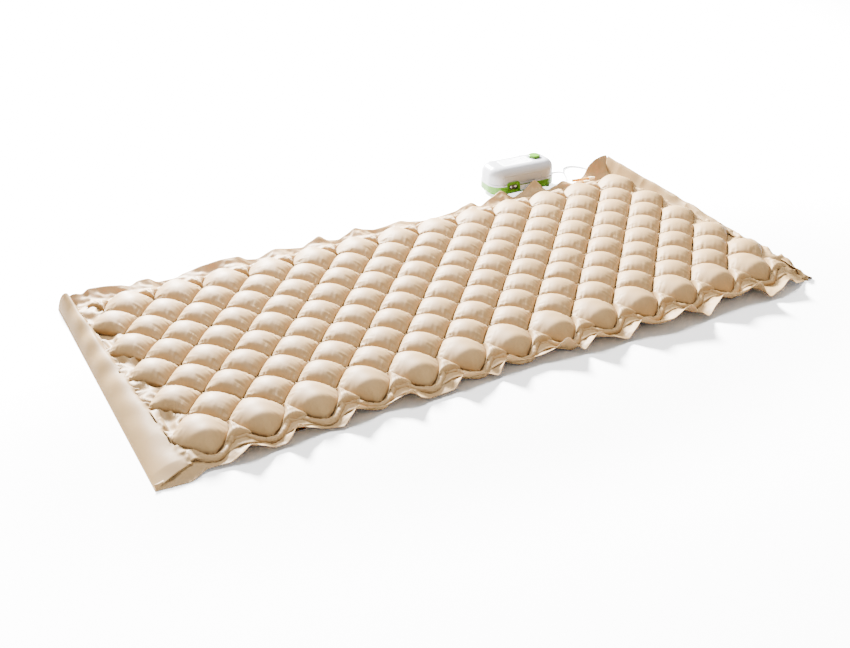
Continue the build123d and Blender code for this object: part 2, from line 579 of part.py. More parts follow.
coil_height = CORD_D * COIL_LAYERS
coil = Solid.make_cylinder(COIL_OUTER, coil_height) - Solid.make_cylinder(COIL_INNER, coil_height)
coil = Pos(COIL_X, COIL_Y, 0.15) * coil
nodes["mains_cord"] = cord - coil
tie = block((COIL_INNER - 1.2, COIL_OUTER + 1.2), (-2.5, 2.5), (0.05, coil_height + 1.4))
tie -= block((COIL_INNER - 0.2, COIL_OUTER + 0.2), (-4, 4), (0.15, coil_height + 0.3))
nodes["cord_tie"] = Pos(COIL_X, COIL_Y, 0) * Rot(0, 0, 35) * tie
nodes["cord_coil"] = coil - nodes["cord_tie"]

# Flat two-pin plug lying beside the coil, its lead coming off the coil's outer turn
PLUG_X, PLUG_Y = COIL_X + 14, COIL_Y - COIL_OUTER - 9.5
plug = block((PLUG_X, PLUG_X + 30), (PLUG_Y - 7, PLUG_Y + 7), (0.2, 14.2))
plug = fillet(plug.edges().filter_by(Axis.X), 4)
plug += Solid.make_cone(3.2, 5.0, 14, Plane(origin=(PLUG_X - 14, PLUG_Y, 7.2), z_dir=(1, 0, 0)))
nodes["plug_body"] = plug
nodes["plug_pins"] = group(
    Solid.make_cylinder(2.0, 19, Plane(origin=(PLUG_X + 30, PLUG_Y + dy, 7.2), z_dir=(1, 0, 0)))
    for dy in (-4.5, 4.5))

for name, shape in nodes.items():
    export_step(shape, f"parts/{name}.step")
print(len(nodes), "nodes")
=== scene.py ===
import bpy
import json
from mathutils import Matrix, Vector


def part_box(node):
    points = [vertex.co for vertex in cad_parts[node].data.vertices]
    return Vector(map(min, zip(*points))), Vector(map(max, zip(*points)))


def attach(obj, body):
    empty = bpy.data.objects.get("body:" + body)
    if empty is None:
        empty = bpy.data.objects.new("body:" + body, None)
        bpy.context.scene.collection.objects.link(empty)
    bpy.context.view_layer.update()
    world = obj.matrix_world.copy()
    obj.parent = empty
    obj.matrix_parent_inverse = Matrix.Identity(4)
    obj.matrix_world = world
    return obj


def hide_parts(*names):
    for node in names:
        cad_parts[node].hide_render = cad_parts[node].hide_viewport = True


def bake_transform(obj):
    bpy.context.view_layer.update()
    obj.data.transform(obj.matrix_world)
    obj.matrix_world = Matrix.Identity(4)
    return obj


bl_info = {
    "name": "Air pad and pump",
    "version": (1, 0, 0),
    "blender": (4, 5, 0),
    "location": "3D View > Sidebar > Air Pad",
    "description": "Builds the look of a quilted air pad with its pump round the packed frame",
    "category": "Object",
}

import json
import math

import bpy
import numpy as np
from mathutils import Vector, noise

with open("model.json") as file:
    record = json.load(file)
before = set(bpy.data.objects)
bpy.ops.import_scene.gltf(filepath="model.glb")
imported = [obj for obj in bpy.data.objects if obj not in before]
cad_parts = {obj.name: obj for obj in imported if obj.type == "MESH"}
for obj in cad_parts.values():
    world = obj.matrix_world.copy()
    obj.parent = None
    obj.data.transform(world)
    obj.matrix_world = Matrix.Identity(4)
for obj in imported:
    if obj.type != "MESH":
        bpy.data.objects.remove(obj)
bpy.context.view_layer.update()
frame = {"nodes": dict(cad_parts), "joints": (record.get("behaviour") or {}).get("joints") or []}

# ------------------------------------------------------------------ places read from the frame
COLUMNS, ROWS = 26, 5
WEB_LOW, WEB_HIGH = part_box("weld_lattice")
FIELD_X, FIELD_Y = WEB_HIGH.x, WEB_HIGH.y
WELD_Z = (WEB_LOW.z + WEB_HIGH.z) / 2
PITCH_X = 4 * FIELD_X / (COLUMNS + 1)
PITCH_Y = 2 * FIELD_Y / (ROWS + 0.5)
BED_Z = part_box("lower_film")[1].z
JOINTS = {j["name"]: j for j in frame["joints"]}
PUMP_AXIS = Vector(JOINTS["hook_left_fold"]["axis"]) * -1     # along the pump, to its right end
PUMP_SIDE = Vector((-PUMP_AXIS.y, PUMP_AXIS.x, 0))

# ------------------------------------------------------------------ fixed sizes, in metres
FLAP_LENGTH, FOOT_WIDTH, HEAD_WIDTH = 0.39, 0.96, 0.94
END_FILM, WELDED_FILM, LOWER_FILM = 0.0003, 0.0006, 0.0004
UNDER_WIDTH, UNDER_LENGTH, UNDER_Z = 0.79, 1.91, 0.00095
CORD_D = 0.0055
LAMPS = (("key", (0.3, 4.4, 2.5), 1.1, 6600), ("top", (0.0, 1.0, 4.5), 1.6, 500))
SKY_STRENGTH, FLOOR_HALF, FLOOR_Z = 0.70, 60, -0.0002
CAMERA_PLACE, CAMERA_LENS = (-1.6503, -2.6111, 1.5729), 51.49
CAMERA_TILT, CAMERA_TURN = math.radians(61.64), math.radians(-31.07)


# ------------------------------------------------------------------ settings
def colour_setting(name, description, default):
    """Colour setting."""
    return bpy.props.FloatVectorProperty(name=name, description=description, default=default,
                                         subtype="COLOR", size=3, min=0, max=1)


def length_setting(name, description, default):
    """Length setting, in metres."""
    return bpy.props.FloatProperty(name=name, description=description, default=default,
                                   unit="LENGTH")


class PadColours(bpy.types.PropertyGroup):
    """Colours of the pad's film and tubes."""
    film: colour_setting("Film", "Soft film of the pad", (0.262, 0.166, 0.073))
    film_shade: colour_setting("Film shade", "Film where it is creased and thin", (0.208, 0.128, 0.050))
    amber: colour_setting("Tubes", "Amber rubber of the inlet tubes", (0.42, 0.20, 0.03))
    cream: colour_setting("Connectors", "Inlet connectors", (0.72, 0.6, 0.42))


class PadSizes(bpy.types.PropertyGroup):
    """Sizes of the inflated film."""
    crown: length_setting("Crown", "Height of a full cell above the welds", 0.0325)
    edge_crown: length_setting("Edge crown", "Height of a half cell above the welds", 0.017)
    tube: length_setting("Channel", "Radius of the supply channels", 0.0093)
    film: length_setting("Film", "Thickness of a hem", 0.0009)
    segments: bpy.props.IntProperty(
        name="Segments", description="Faces along one side of a cell", default=36, min=12, max=64)


class PumpColours(bpy.types.PropertyGroup):
    """Colours of the pump and its lead."""
    white: colour_setting("Upper casing", "Glossy upper casing", (0.33, 0.33, 0.345))
    green: colour_setting("Lower casing", "Glossy lower casing and knob", (0.055, 0.165, 0.003))
    dark: colour_setting("Dark parts", "Rubber feet and recess", (0.015, 0.02, 0.015))
    sheath: colour_setting("Lead", "Sheath of the mains lead", (0.62, 0.63, 0.66))


# ------------------------------------------------------------------ mesh helpers
def mesh_object(name, verts, faces, smooth=True, uvs=None):
    """New object from points and faces, linked to the scene."""
    mesh = bpy.data.meshes.new(name)
    mesh.from_pydata([tuple(v) for v in np.asarray(verts, float)], [], [tuple(f) for f in faces])
    mesh.update()
    if smooth:
        mesh.shade_smooth()
    if uvs is not None:
        layer = mesh.uv_layers.new(name="surface")
        index = np.zeros(len(mesh.loops), np.int32)
        mesh.loops.foreach_get("vertex_index", index)
        layer.data.foreach_set("uv", np.asarray(uvs, np.float32)[index].ravel())
    obj = bpy.data.objects.new(name, mesh)
    bpy.context.scene.collection.objects.link(obj)
    return obj


def grid_faces(rows, columns, start=0, wrap=False, flip=False):
    """Quads over a grid of points; wrap joins the last column to the first."""
    faces = []
    for r in range(rows - 1):
        for c in range(columns if wrap else columns - 1):
            n = (c + 1) % columns
            quad = (r * columns + c, r * columns + n, (r + 1) * columns + n, (r + 1) * columns + c)
            faces.append(tuple(start + k for k in (quad[::-1] if flip else quad)))
    return faces


def sheet_object(name, points, flip=False):
    """Open surface over a grid of points, with its own UV."""
    rows, columns = points.shape[:2]
    v, u = np.meshgrid(np.linspace(0, 1, rows), np.linspace(0, 1, columns), indexing="ij")
    return mesh_object(name, points.reshape(-1, 3), grid_faces(rows, columns, flip=flip),
                       uvs=np.stack([u.ravel(), v.ravel()], -1))


def thicken(obj, thickness, offset=0.0):
    """Turns an open surface into a closed sheet of film."""
    solid = obj.modifiers.new("film", "SOLIDIFY")
    solid.thickness, solid.offset = thickness, offset
    bpy.context.view_layer.update()
    evaluated = obj.evaluated_get(bpy.context.evaluated_depsgraph_get())
    mesh = bpy.data.meshes.new_from_object(evaluated)
    obj.modifiers.clear()
    obj.data = mesh
    mesh.name = obj.name
    return obj


def waves(x, y, seed, scale, count=6):
    """Smooth random height over the plane, about -1 to 1, from a few waves."""
    rng = np.random.RandomState(seed)
    total = np.zeros(np.broadcast(x, y).shape)
    for _ in range(count):
        angle, phase = rng.uniform(0, 2 * math.pi, 2)
        k = 2 * math.pi / scale * rng.uniform(0.6, 1.6)
        total += np.sin(k * (math.cos(angle) * x + math.sin(angle) * y) + phase)
    return total / math.sqrt(count * 2)


def creases(points, seed, scale):
    """Sharp folds like crumpled film, 0 to 1, at each point."""
    flat = points.reshape(-1, 3)
    found = [1 - abs(noise.noise(Vector((p[0] / scale + seed * 7.3, p[1] / scale, seed * 1.7)))) * 2
             for p in flat]
    return np.clip(np.array(found), 0, 1).reshape(points.shape[:2])


def smooth(t):
    """Eased step from 0 to 1."""
    t = np.clip(t, 0, 1)
    return t * t * (3 - 2 * t)


# ------------------------------------------------------------------ materials
def new_group(name, inputs, outputs):
    """Shader node group with its sockets and its two end nodes."""
    group = bpy.data.node_groups.new(name, "ShaderNodeTree")
    for label, kind, value in inputs:
        socket = group.interface.new_socket(label, in_out="INPUT", socket_type=kind)
        socket.default_value = value
    for label, kind in outputs:
        group.interface.new_socket(label, in_out="OUTPUT", socket_type=kind)
    return group, group.nodes.new("NodeGroupInput"), group.nodes.new("NodeGroupOutput")


def node(tree, kind, **sockets):
    """Node with some of its inputs set."""
    made = tree.nodes.new(kind)
    for key, value in sockets.items():
        made.inputs[key.replace("_", " ")].default_value = value
    return made


def math_node(tree, operation, a, b=None):
    """Output of a Math node fed by numbers or sockets."""
    made = tree.nodes.new("ShaderNodeMath")
    made.operation = operation
    for k, value in enumerate((a, b)):
        if value is None:
            continue
        if isinstance(value, (int, float)):
            made.inputs[k].default_value = value
        else:
            tree.links.new(value, made.inputs[k])
    return made.outputs[0]


def film_group():
    """Soft film: mottled colour, fine grain and faint stretch lines."""
    group, inlet, outlet = new_group(
        "soft_film",
        [("Colour", "NodeSocketColor", (0.7, 0.6, 0.4, 1)),
         ("Shade", "NodeSocketColor", (0.5, 0.4, 0.3, 1)),
         ("Mottle size", "NodeSocketFloat", 9.0), ("Grain size", "NodeSocketFloat", 900.0)],
        [("Colour", "NodeSocketColor"), ("Roughness", "NodeSocketFloat"),
         ("Height", "NodeSocketFloat")])
    links = group.links
    place = group.nodes.new("ShaderNodeTexCoord")
    mottle = node(group, "ShaderNodeTexNoise", Detail=3.0, Roughness=0.55)
    grain = node(group, "ShaderNodeTexNoise", Detail=2.0, Roughness=0.6)
    folds = node(group, "ShaderNodeTexNoise", Scale=55.0, Detail=4.0, Roughness=0.6, Distortion=0.8)
    for texture, size in ((mottle, "Mottle size"), (grain, "Grain size"), (folds, None)):
        links.new(place.outputs["Object"], texture.inputs["Vector"])
        if size:
            links.new(inlet.outputs[size], texture.inputs["Scale"])
    mix = group.nodes.new("ShaderNodeMix")
    mix.data_type = "RGBA"
    amount = math_node(group, "MULTIPLY", mottle.outputs["Fac"], 0.45)
    links.new(amount, mix.inputs["Factor"])
    links.new(inlet.outputs["Colour"], mix.inputs["A"])
    links.new(inlet.outputs["Shade"], mix.inputs["B"])
    links.new(mix.outputs["Result"], outlet.inputs["Colour"])
    rough = math_node(group, "MULTIPLY", folds.outputs["Fac"], 0.16)
    links.new(math_node(group, "ADD", rough, 0.50), outlet.inputs["Roughness"])
    fine = math_node(group, "MULTIPLY", grain.outputs["Fac"], 0.12)
    coarse = math_node(group, "MULTIPLY", folds.outputs["Fac"], 0.5)
    links.new(math_node(group, "ADD", fine, coarse), outlet.inputs["Height"])
    return group


def moulded_group():
    """Moulded plastic: slight cloud in the colour, fingerprints in the gloss, fine texture."""
    group, inlet, outlet = new_group(
        "moulded_plastic",
        [("Colour", "NodeSocketColor", (0.8, 0.8, 0.8, 1)), ("Gloss", "NodeSocketFloat", 0.25),
         ("Grain size", "NodeSocketFloat", 1500.0), ("Dust", "NodeSocketFloat", 0.1)],
        [("Colour", "NodeSocketColor"), ("Roughness", "NodeSocketFloat"),
         ("Height", "NodeSocketFloat")])
    links = group.links
    place = group.nodes.new("ShaderNodeTexCoord")
    cloud = node(group, "ShaderNodeTexNoise", Scale=35.0, Detail=4.0, Roughness=0.6)
    grain = node(group, "ShaderNodeTexNoise", Detail=2.0)
    for texture in (cloud, grain):
        links.new(place.outputs["Object"], texture.inputs["Vector"])
    links.new(inlet.outputs["Grain size"], grain.inputs["Scale"])
    mix = group.nodes.new("ShaderNodeMix")
    mix.data_type = "RGBA"
    mix.inputs["B"].default_value = (0.55, 0.53, 0.5, 1)
    links.new(math_node(group, "MULTIPLY", cloud.outputs["Fac"], inlet.outputs["Dust"]),
              mix.inputs["Factor"])
    links.new(inlet.outputs["Colour"], mix.inputs["A"])
    links.new(mix.outputs["Result"], outlet.inputs["Colour"])
    spread = math_node(group, "MULTIPLY", cloud.outputs["Fac"], 0.12)
    links.new(math_node(group, "ADD", inlet.outputs["Gloss"], spread), outlet.inputs["Roughness"])
    links.new(grain.outputs["Fac"], outlet.inputs["Height"])
    return group


def finish_material(name, group, values, bump, depth, metallic=0.0, coat=0.0, subsurface=0.0):
    """Principled material fed by one of the groups."""
    material = bpy.data.materials.new(name)
    material.use_nodes = True
    tree = material.node_tree
    shader = tree.nodes["Principled BSDF"]
    shader.inputs["Metallic"].default_value = metallic
    shader.inputs["Coat Weight"].default_value = coat
    shader.inputs["Coat Roughness"].default_value = 0.12
    if subsurface:
        shader.inputs["Subsurface Weight"].default_value = subsurface
        shader.inputs["Subsurface Radius"].default_value = (0.012, 0.006, 0.003)
        shader.inputs["Subsurface Scale"].default_value = 0.3
    effect = tree.nodes.new("ShaderNodeGroup")
    effect.node_tree = group
    for key, value in values.items():
        effect.inputs[key].default_value = (*value, 1) if hasattr(value, "__len__") else value
    tree.links.new(effect.outputs["Colour"], shader.inputs["Base Color"])
    tree.links.new(effect.outputs["Roughness"], shader.inputs["Roughness"])
    relief = node(tree, "ShaderNodeBump", Strength=bump, Distance=depth)
    tree.links.new(effect.outputs["Height"], relief.inputs["Height"])
    tree.links.new(relief.outputs["Normal"], shader.inputs["Normal"])
    return material


MATERIALS = {}


def make_materials(scene):
    """Every material of the pad, the pump and the lead."""
    pad, pump = scene.pad_colours, scene.pump_colours
    film, moulded = film_group(), moulded_group()

    def film_of(name, colour, shade, **rest):
        MATERIALS[name] = finish_material(
            name, film, {"Colour": tuple(colour), "Shade": tuple(shade)}, 0.25, 0.0006,
            subsurface=0.04, **rest)

    def plastic(name, colour, gloss, dust=0.08, grain=1500.0, bump=0.05, **rest):
        MATERIALS[name] = finish_material(
            name, moulded, {"Colour": tuple(colour), "Gloss": gloss, "Dust": dust,
                            "Grain size": grain}, bump, 0.0002, **rest)

    film_of("pad_film", pad.film, pad.film_shade)
    # The end bands get a copy of the film at 0.72 of its colour: painted shade, for bands that lie turned
    # away from the key lamp.
    film_of("band_film", [c * 0.72 for c in pad.film], [c * 0.72 for c in pad.film_shade])
    # The web between the cells gets a copy at 0.30 and 0.25 of the film's colours: painted shade in the
    # narrow gaps between the cells.
    film_of("seam_film", [c * 0.30 for c in pad.film], [c * 0.25 for c in pad.film_shade])
    plastic("amber_rubber", pad.amber, 0.4, dust=0.0, subsurface=0.1)
    plastic("cream_plastic", pad.cream, 0.35)
    plastic("white_gloss", pump.white, 0.25, dust=0.03, coat=0.05)
    plastic("green_gloss", pump.green, 0.25, dust=0.01, coat=0.0)
    plastic("dark_rubber", pump.dark, 0.5, grain=900.0, bump=0.2)
    plastic("dark_satin", pump.dark, 0.3)
    plastic("label_film", (0.74, 0.74, 0.75), 0.28)
    plastic("white_satin", (0.78, 0.78, 0.76), 0.35)
    plastic("sheath", pump.sheath, 0.4, grain=700.0, bump=0.12)
    plastic("board_green", (0.04, 0.2, 0.07), 0.3)
    plastic("hose_rubber", (0.7, 0.7, 0.66), 0.4)
    plastic("magnet_black", (0.05, 0.05, 0.055), 0.5, grain=600.0, bump=0.3)
    plastic("print_grey", (0.30, 0.31, 0.33), 0.35)
    plastic("zinc_steel", (0.6, 0.6, 0.62), 0.3, metallic=1.0)
    plastic("motor_metal", (0.66, 0.66, 0.66), 0.35, metallic=1.0)
    plastic("copper_wire", (0.62, 0.26, 0.12), 0.3, metallic=1.0)
    plastic("plug_brass", (0.72, 0.57, 0.3), 0.22, metallic=1.0)
    for name, sheen in (("pad_film", 0.14), ("band_film", 0.05), ("seam_film", 0.1),
                        ("white_gloss", 0.2), ("green_gloss", 0.2), ("amber_rubber", 0.2)):
        shader = MATERIALS[name].node_tree.nodes["Principled BSDF"]
        shader.inputs["Specular IOR Level"].default_value = sheen


NODE_MATERIALS = {
    "white_gloss": ("upper_casing",),
    "green_gloss": ("lower_casing", "port_surround", "pressure_knob"),
    "dark_rubber": ("pump_feet", "deck_mounts", "diaphragm_near", "diaphragm_far", "check_valves"),
    "dark_satin": ("port_plate", "switch_frame", "power_rocker", "knob_shaft", "pressure_control",
                   "cord_tie"),
    "label_film": ("top_label", "side_label"),
    "white_satin": ("outlet_nozzles", "hanger_hook_left", "hanger_hook_right", "pump_chambers",
                    "air_manifold", "works_deck", "swing_arm_near", "swing_arm_far", "valve_disc",
                    "valve_seat", "coil_bobbin"),
    "zinc_steel": ("casing_screws", "hook_pins", "arm_pivot_pins", "magnet_core"),
    "motor_metal": ("timing_motor",),
    "magnet_black": ("arm_magnet_near", "arm_magnet_far"),
    "copper_wire": ("coil_winding",),
    "board_green": ("control_board",),
    "hose_rubber": ("internal_hoses",),
    "plug_brass": ("plug_pins",),
    "sheath": ("strain_relief", "plug_body"),
    "amber_rubber": ("inlet_tubes",),
    "cream_plastic": ("inlet_connectors",),
}


def dress(obj, material):
    """Gives an object its one material and, if named, its slot."""
    obj.data.materials.clear()
    obj.data.materials.append(MATERIALS[material])
    return obj


# ------------------------------------------------------------------ pad
def cell_places(circuit):
    """Centre of each full cell of one circuit, with its row."""
    for i in range(circuit, COLUMNS, 2):
        x = (i - (COLUMNS - 1) / 2) * PITCH_X / 2
        for j in range(ROWS):
            yield x, (j + circuit / 2 - ROWS / 2 + 0.25) * PITCH_Y, j


def unit_cell(segments, crown, seed):
    """Top of an inflated cell: points over the diamond, its corners on the two axes."""
    s = np.linspace(-1, 1, segments + 1)
    spaced = 0.45 * s + 0.55 * np.sin(math.pi / 2 * s)
    u, v = np.meshgrid(spaced, spaced, indexing="ij")
    lift = np.clip(np.cos(u * math.pi / 2) * np.cos(v * math.pi / 2), 0, 1) ** 0.50
    height = crown * lift
    rng = np.random.RandomState(seed)
    for along, across in ((u, v), (v, u)):
        near_weld = (1 - np.abs(across)) * np.exp(-(1 - np.abs(across)) / 0.15) * 18
        gather = np.zeros_like(u)
        for k in (11.0, 17.0, 26.0):
            gather += np.sin(k * along * math.pi / 2 + rng.uniform(0, 6.3) + np.sign(across) * 2)
        height += 0.0008 * gather * near_weld * (0.3 + 0.7 * np.abs(along)) * (1 - along ** 6)
    tuck = 0.995 - 0.05 * (u * v) ** 6
    x = (u + v) / 2 * PITCH_X / 2 * tuck
    y = (v - u) / 2 * PITCH_Y / 2 * tuck
    return np.stack([x, y, np.maximum(height, 0)], -1)


def inflate(points):
    """Short cloth run that lets the film of one cell find its creases; the weld stays put."""
    rows = points.shape[0]
    obj = mesh_object("cell_film", points.reshape(-1, 3), grid_faces(rows, rows, flip=True))
    edge = [r * rows + c for r in range(rows) for c in range(rows)
           if r in (0, rows - 1) or c in (0, rows - 1)]
    pins = obj.vertex_groups.new(name="weld")
    pins.add(edge, 1.0, "ADD")
    cloth = obj.modifiers.new("air", "CLOTH")
    settings = cloth.settings
    settings.quality, settings.mass, settings.air_damping = 6, 0.02, 4.0
    settings.tension_stiffness = settings.compression_stiffness = 25
    settings.shear_stiffness, settings.bending_stiffness = 10, 2.0
    settings.vertex_group_mass = "weld"
    settings.use_pressure, settings.uniform_pressure_force = True, 3.0
    settings.shrink_min = -0.008
    settings.effector_weights.gravity = 0
    cloth.collision_settings.use_collision = False
    scene = bpy.context.scene
    for step in range(1, 13):
        scene.frame_set(step)
    evaluated = obj.evaluated_get(bpy.context.evaluated_depsgraph_get())
    found = np.array([v.co for v in evaluated.data.vertices]).reshape(points.shape)
    scene.frame_set(1)
    bpy.data.objects.remove(obj)
    moved = found - points
    size = np.linalg.norm(moved, axis=-1, keepdims=True)
    return points + moved * np.minimum(1, 0.0035 / np.maximum(size, 1e-9))


EDGE_POWER, EDGE_REACH = 1.55, 0.088


def round_outer(points, side):
    """Rounds the outer half of an edge cell, where the supply channel passes, and lets it droop."""
    x, y = points[..., 0] / (PITCH_X / 2), points[..., 1] / (PITCH_Y / 2)
    angle = np.arctan2(np.abs(y), np.abs(x))
    c, s = np.cos(angle), np.sin(angle) * PITCH_Y / 2 / EDGE_REACH
    scale = (c ** EDGE_POWER + s ** EDGE_POWER) ** (-1 / EDGE_POWER) * (np.cos(angle) + np.sin(angle))
    share = np.where(side * y > 0, 1 + (scale - 1) * smooth(np.abs(x) + np.abs(y)), 1.0)
    share *= 1 + 0.055 * smooth((side * y - 0.8) / 0.14)
    moved = points.copy()
    moved[..., 0] *= share
    moved[..., 1] *= share
    rho = (np.abs(moved[..., 0] / (PITCH_X / 2)) ** EDGE_POWER
           + np.abs(moved[..., 1] / EDGE_REACH) ** EDGE_POWER) ** (1 / EDGE_POWER)
    rho = np.clip(rho, 0, 1)
    flat = np.sin(angle) ** 2
    full = points[..., 2].max() * ((1 - flat) * np.cos(rho * math.pi / 2) + flat * (1 - rho ** 2.5) ** 0.62)
    full += 0.0012 * np.sin(angle * 23) * np.clip(rho * (1 - rho) * 4, 0, 1) * smooth((rho - 0.6) * 4)
    outer = smooth((side * moved[..., 1] + 0.012) / 0.05)
    moved[..., 2] = np.maximum(moved[..., 2] * (1 - outer) + full * outer, 0)
    moved[..., 2] -= 0.014 * smooth((side * moved[..., 1] - 0.040) / 0.048)
    return moved


def closed_pillow(top, depth):
    """Verts and faces of a pillow: the top grid with a shallow underside that has the same rim."""
    rows = top.shape[0]
    under = top.copy()
    rise = top[..., 2].max()
    hanging = top[..., 2] < 0
    under[..., 2] = np.where(hanging, top[..., 2] * 1.1 - 0.0004,
                             -np.minimum(top[..., 2] * depth / rise * 1.25, depth))
    step = max(1, (rows - 1) // 9)
    keep = sorted(set(range(0, rows, step)) | {rows - 1})
    verts = [p for p in top.reshape(-1, 3)]
    faces = grid_faces(rows, rows, flip=True)
    index = -np.ones((rows, rows), int)
    for r in range(rows):
        for c in range(rows):
            if r in (0, rows - 1) or c in (0, rows - 1):
                index[r, c] = r * rows + c
    for r in keep:
        for c in keep:
            if index[r, c] < 0:
                index[r, c] = len(verts)
                verts.append(under[r, c])
    for a, b in zip(keep, keep[1:]):
        for c, d in zip(keep, keep[1:]):
            ring = [index[a, k] for k in range(c, d + 1) if index[a, k] >= 0]
            ring += [index[k, d] for k in range(a + 1, b + 1) if index[k, d] >= 0]
            ring += [index[b, k] for k in range(d - 1, c - 1, -1) if index[b, k] >= 0]
            ring += [index[k, c] for k in range(b - 1, a, -1) if index[k, c] >= 0]
            clean = [v for k, v in enumerate(ring) if v not in ring[:k]]
            faces.append(tuple(clean))
    return np.array(verts), faces


def stamp(name, shapes):
    """One object from many pillows."""
    verts, faces, start = [], [], 0
    for points, quads in shapes:
        verts.append(points)
        faces += [tuple(start + k for k in f) for f in quads]
        start += len(points)
    return mesh_object(name, np.concatenate(verts), faces)


def build_cells(scene):
    """Inflated diamond cells of both circuits."""
    sizes = scene.pad_sizes
    shapes = []
    for seed in range(4):
        points = unit_cell(sizes.segments, sizes.crown, seed)
        points = inflate(points)
        shapes.append(points)
    rng = np.random.RandomState(11)
    depth = WELD_Z - BED_Z - 0.0005
    for circuit, name in enumerate(("air_cells_circuit_a", "air_cells_circuit_b")):
        made = []
        for x, y, j in cell_places(circuit):
            points = shapes[rng.randint(4)].copy()
            if rng.rand() < 0.5:
                points = points[::-1, ::-1] * np.array([-1, -1, 1])
            points[..., 2] *= rng.uniform(0.94, 1.05)
            if circuit == 0 and j == 0:
                points = round_outer(points, -1)
            if circuit == 1 and j == ROWS - 1:
                points = round_outer(points, 1)
            verts, faces = closed_pillow(points, depth)
            made.append((verts + np.array([x, y, WELD_Z]), faces))
        piece = dress(stamp(f"{name}_film", made), "pad_film")
        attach(piece, "pad")
        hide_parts(name)


def build_edge_cells(scene):
    """Half cells between the outermost full ones; each is a small triangular pillow."""
    sizes = scene.pad_sizes
    rows = sizes.segments // 2
    for circuit, name, side in ((1, "edge_cells_near", -1), (0, "edge_cells_far", 1)):
        made = []
        for i in range(circuit, COLUMNS, 2):
            x = (i - (COLUMNS - 1) / 2) * PITCH_X / 2
            apex = side * FIELD_Y - side * PITCH_Y / 2
            v, u = np.meshgrid(np.linspace(0, 1, rows + 1), np.linspace(-1, 1, rows * 2 + 1),
                               indexing="ij")
            depth = v * 0.068
            inset = (1 - (depth / EDGE_REACH) ** EDGE_POWER) ** (1 / EDGE_POWER)
            half = (1 - inset) * PITCH_X / 2 * (1 - 0.10 * v ** 8) + 1e-5
            lift = np.sqrt(np.clip((1 - np.abs(u) ** 2.2) * (1 - (2 * v - 1) ** 4), 0, 1))
            lift *= smooth(v * 2.4) * 0.35 + 0.65
            wrinkle = 0.0006 * np.sin(u * 17 + i) * (1 - np.abs(u)) + 0.0007 * np.sin(v * 23 + i * 2)
            px, py = x + u * half, apex + side * depth
            pz = lift * (sizes.edge_crown + wrinkle * smooth(lift * 2))
            top = np.stack([px, py, pz], -1)
            low = top.copy()
            low[..., 2] = -0.6 * pz
            faces = grid_faces(rows + 1, rows * 2 + 1, flip=side > 0)
            count = top.shape[0] * top.shape[1]
            faces += grid_faces(rows + 1, rows * 2 + 1, start=count, flip=side < 0)
            verts = np.concatenate([top.reshape(-1, 3), low.reshape(-1, 3)])
            made.append((verts + np.array([0, 0, WELD_Z]), faces))
        piece = dress(stamp(f"{name}_film", made), "pad_film")
        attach(piece, "pad")
        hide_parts(name)


# one arch of a supply channel in millimetres: along, inward from the field's edge, height
ARCH = ((-51, 10, 23), (-48, 5, 21), (-39, -4, 17.5), (-29, -11, 15), (-15, -18.5, 13),
        (0, -22.5, 12), (15, -19.5, 12.5), (29, -11, 15), (40, -3, 18), (49, 5, 22), (55, 11, 26),
        (63, 10, 23), (80, 9, 22))


def channel_route(side):
    """Line of a supply channel: it passes round the outer side of each edge cell in turn."""
    circuit = 0 if side < 0 else 1
    centres = [(i - (COLUMNS - 1) / 2) * PITCH_X / 2 for i in range(circuit, COLUMNS, 2)]
    points, rng = [], np.random.RandomState(3 if side < 0 else 5)
    for k, x in enumerate(centres):
        arch = ARCH[:-2] if k == len(centres) - 1 else ARCH
        for dx, dy, z in arch:
            wx, wy, wz = rng.uniform(-1.3, 1.3, 3)
            points.append((x + (dx + wx) / 1000, side * (FIELD_Y - (dy + wy) / 1000), (z + wz) / 1000))
    points = np.array(points)
    fine = []
    for k in range(len(points) - 1):
        p0, p1 = points[max(k - 1, 0)], points[k]
        p2, p3 = points[k + 1], points[min(k + 2, len(points) - 1)]
        for t in np.linspace(0, 1, 8, endpoint=False):
            fine.append(0.5 * ((2 * p1) + (p2 - p0) * t + (2 * p0 - 5 * p1 + 4 * p2 - p3) * t ** 2
                               + (3 * p1 - p0 - 3 * p2 + p3) * t ** 3))
    return np.array(fine)


def build_channels(scene):
    """Sausage-like supply channels along both long edges."""
    radius = scene.pad_sizes.tube
    for side, name in ((-1, "supply_channel_near"), (1, "supply_channel_far")):
        line = channel_route(side)
        along = np.concatenate([[0], np.cumsum(np.linalg.norm(np.diff(line, axis=0), axis=1))])
        tangent = np.gradient(line[:, :2], axis=0)
        tangent /= np.linalg.norm(tangent, axis=1)[:, None]
        normal = np.stack([-tangent[:, 1], tangent[:, 0]], -1)
        turn = np.linspace(0, 2 * math.pi, 20, endpoint=False)
        pinch = 1 + 0.10 * waves(along, np.zeros_like(along), 21 + side, 0.034, 5)
        pinch -= (0.10 if side > 0 else 0.05) * np.abs(np.sin(along * 150)) ** 8
        swell = np.outer(pinch, np.ones_like(turn))
        swell += 0.05 * waves(np.outer(along, np.ones_like(turn)),
                              np.outer(np.ones_like(along), turn * 0.006),
                              31 + side, 0.012, 6)
        wide = radius * swell * np.cos(turn)
        high = radius * (swell * np.sin(turn) * 1.02)
        x = line[:, :1] + normal[:, :1] * wide
        y = line[:, 1:2] + normal[:, 1:] * wide
        z = line[:, 2:] + high
        rows = len(line)
        verts = np.stack([x, y, z], -1).reshape(-1, 3)
        faces = grid_faces(rows, len(turn), wrap=True)
        faces += [tuple(range(len(turn))), tuple(range(rows * len(turn) - 1,
                                                       (rows - 1) * len(turn) - 1, -1))]
        piece = dress(mesh_object(f"{name}_tube", verts, faces), "pad_film")
        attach(piece, "pad")
        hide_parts(name)


